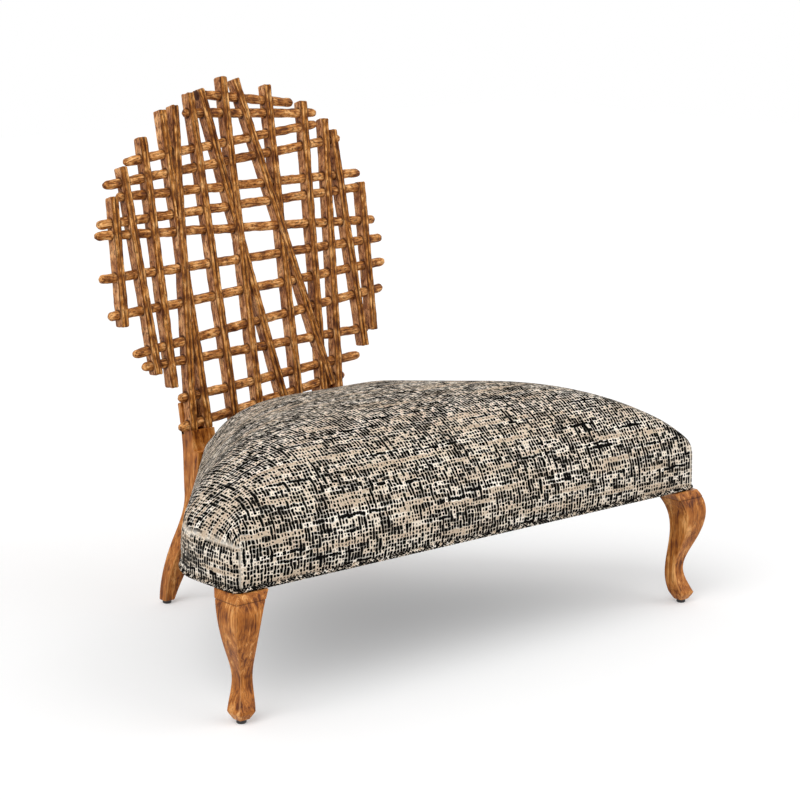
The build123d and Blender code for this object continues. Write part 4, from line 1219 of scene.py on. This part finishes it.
# growth bands of 7 mm and flecks of 0.8 mm
bands = add_node(tree, "TexNoise", {"Vector": grain_run, "Scale": 1 / (7 * MM), "Detail": 3.0})
flecks = add_node(tree, "TexNoise", {"Vector": grain_run, "Scale": 1 / (0.8 * MM), "Detail": 1.0})
pale = add_node(tree, "ValToRGB", {"Fac": bands}, steps=[(0.35, "#BF9F75"), (0.65, "#D8BE97")])
fleck_mask = add_node(tree, "MapRange", {"Value": flecks, "From Min": 0.62, "From Max": 0.70, "To Max": 0.45})
flecked = add_node(tree, "Mix", {"Factor": fleck_mask, 6: pale, 7: colour("#8B6238")}, data_type="RGBA")
link_surface(tree, shader, bands, 0.2, 0.2 * MM, Base_Color=flecked.outputs[2])


# %% Jute
def jute_material(name, yarn, codes):
    """Plain woven jute: hairy flat yarns of the given pitch that pass over and under each other."""
    material, tree, shader = new_material(name, Roughness=0.95, Specular_IOR_Level=0.15)
    place = add_node(tree, "TexCoord").outputs["Object"]
    yarns = add_node(tree, "VectorMath", {0: place, 1: (pi / yarn,) * 3}, operation="MULTIPLY")
    woven = add_node(tree, "SeparateXYZ", {0: yarns})
    over = add_node(tree, "Math", {0: woven.outputs[0]}, operation="SINE")
    under = add_node(tree, "Math", {0: woven.outputs[1]}, operation="SINE")
    weave = add_node(tree, "Math", {0: over, 1: under}, operation="MULTIPLY")
    hairs = add_node(tree, "TexNoise", {"Vector": place, "Scale": 1 / (1.2 * MM), "Detail": 3.0})
    tone = add_node(tree, "Math", {0: weave, 1: 0.22, 2: hairs}, operation="MULTIPLY_ADD")
    fibre = add_node(tree, "ValToRGB", {"Fac": tone}, steps=list(zip((0.25, 0.50, 0.75), codes)))
    link_surface(tree, shader, tone, 0.6, 0.5 * MM, Base_Color=fibre)
    return material


webbing_jute = jute_material("woven jute webbing", 2.2 * MM, ("#5E4C2F", "#8A7650", "#AE9A72"))
hessian_jute = jute_material("plain woven jute hessian", 1.6 * MM, ("#83693F", "#B39A68", "#D0BA8C"))

# %% Nylon
# moulded nylon: black, a little glossy, scuffed where it slides over floors
nylon, tree, shader = new_material("moulded black nylon", Roughness=0.42, IOR=1.53)
place = add_node(tree, "TexCoord").outputs["Object"]
# spark-eroded grain of 0.6 mm and scuffs of 4 mm
texture = add_node(tree, "TexNoise", {"Vector": place, "Scale": 1 / (0.6 * MM), "Detail": 2.0})
scuffs = add_node(tree, "TexNoise", {"Vector": place, "Scale": 1 / (4 * MM), "Detail": 3.0})
black_tone = add_node(tree, "ValToRGB", {"Fac": scuffs}, steps=[(0.40, "#141414"), (0.72, "#2B2A29")])
worn_gloss = add_node(tree, "MapRange", {"Value": scuffs, "From Min": 0.3, "From Max": 0.7, "To Min": 0.36,
                                         "To Max": 0.62})
link_surface(tree, shader, texture, 0.25, 0.15 * MM, Base_Color=black_tone, Roughness=worn_gloss)

# %% Materials of the frame's own pieces
dressed = {
    beech: ["front_rail", "back_rail", "end_rail_left", "end_rail_right", "side_rail_left", "side_rail_right",
            "centre_brace", "frame_dowels"],
    webbing_jute: ["webbing_lengthwise", "webbing_crosswise"],
    hessian_jute: ["hessian_deck"],
    nylon: ["glides"],
    zinc: ["front_leg_bolts", "front_leg_inserts", "post_bolts", "post_nuts"],
}
for material, names in dressed.items():
    for name in names:
        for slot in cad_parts[name].material_slots:
            slot.material = material
print("nodes that stay:", sum(len(names) for names in dressed.values()))
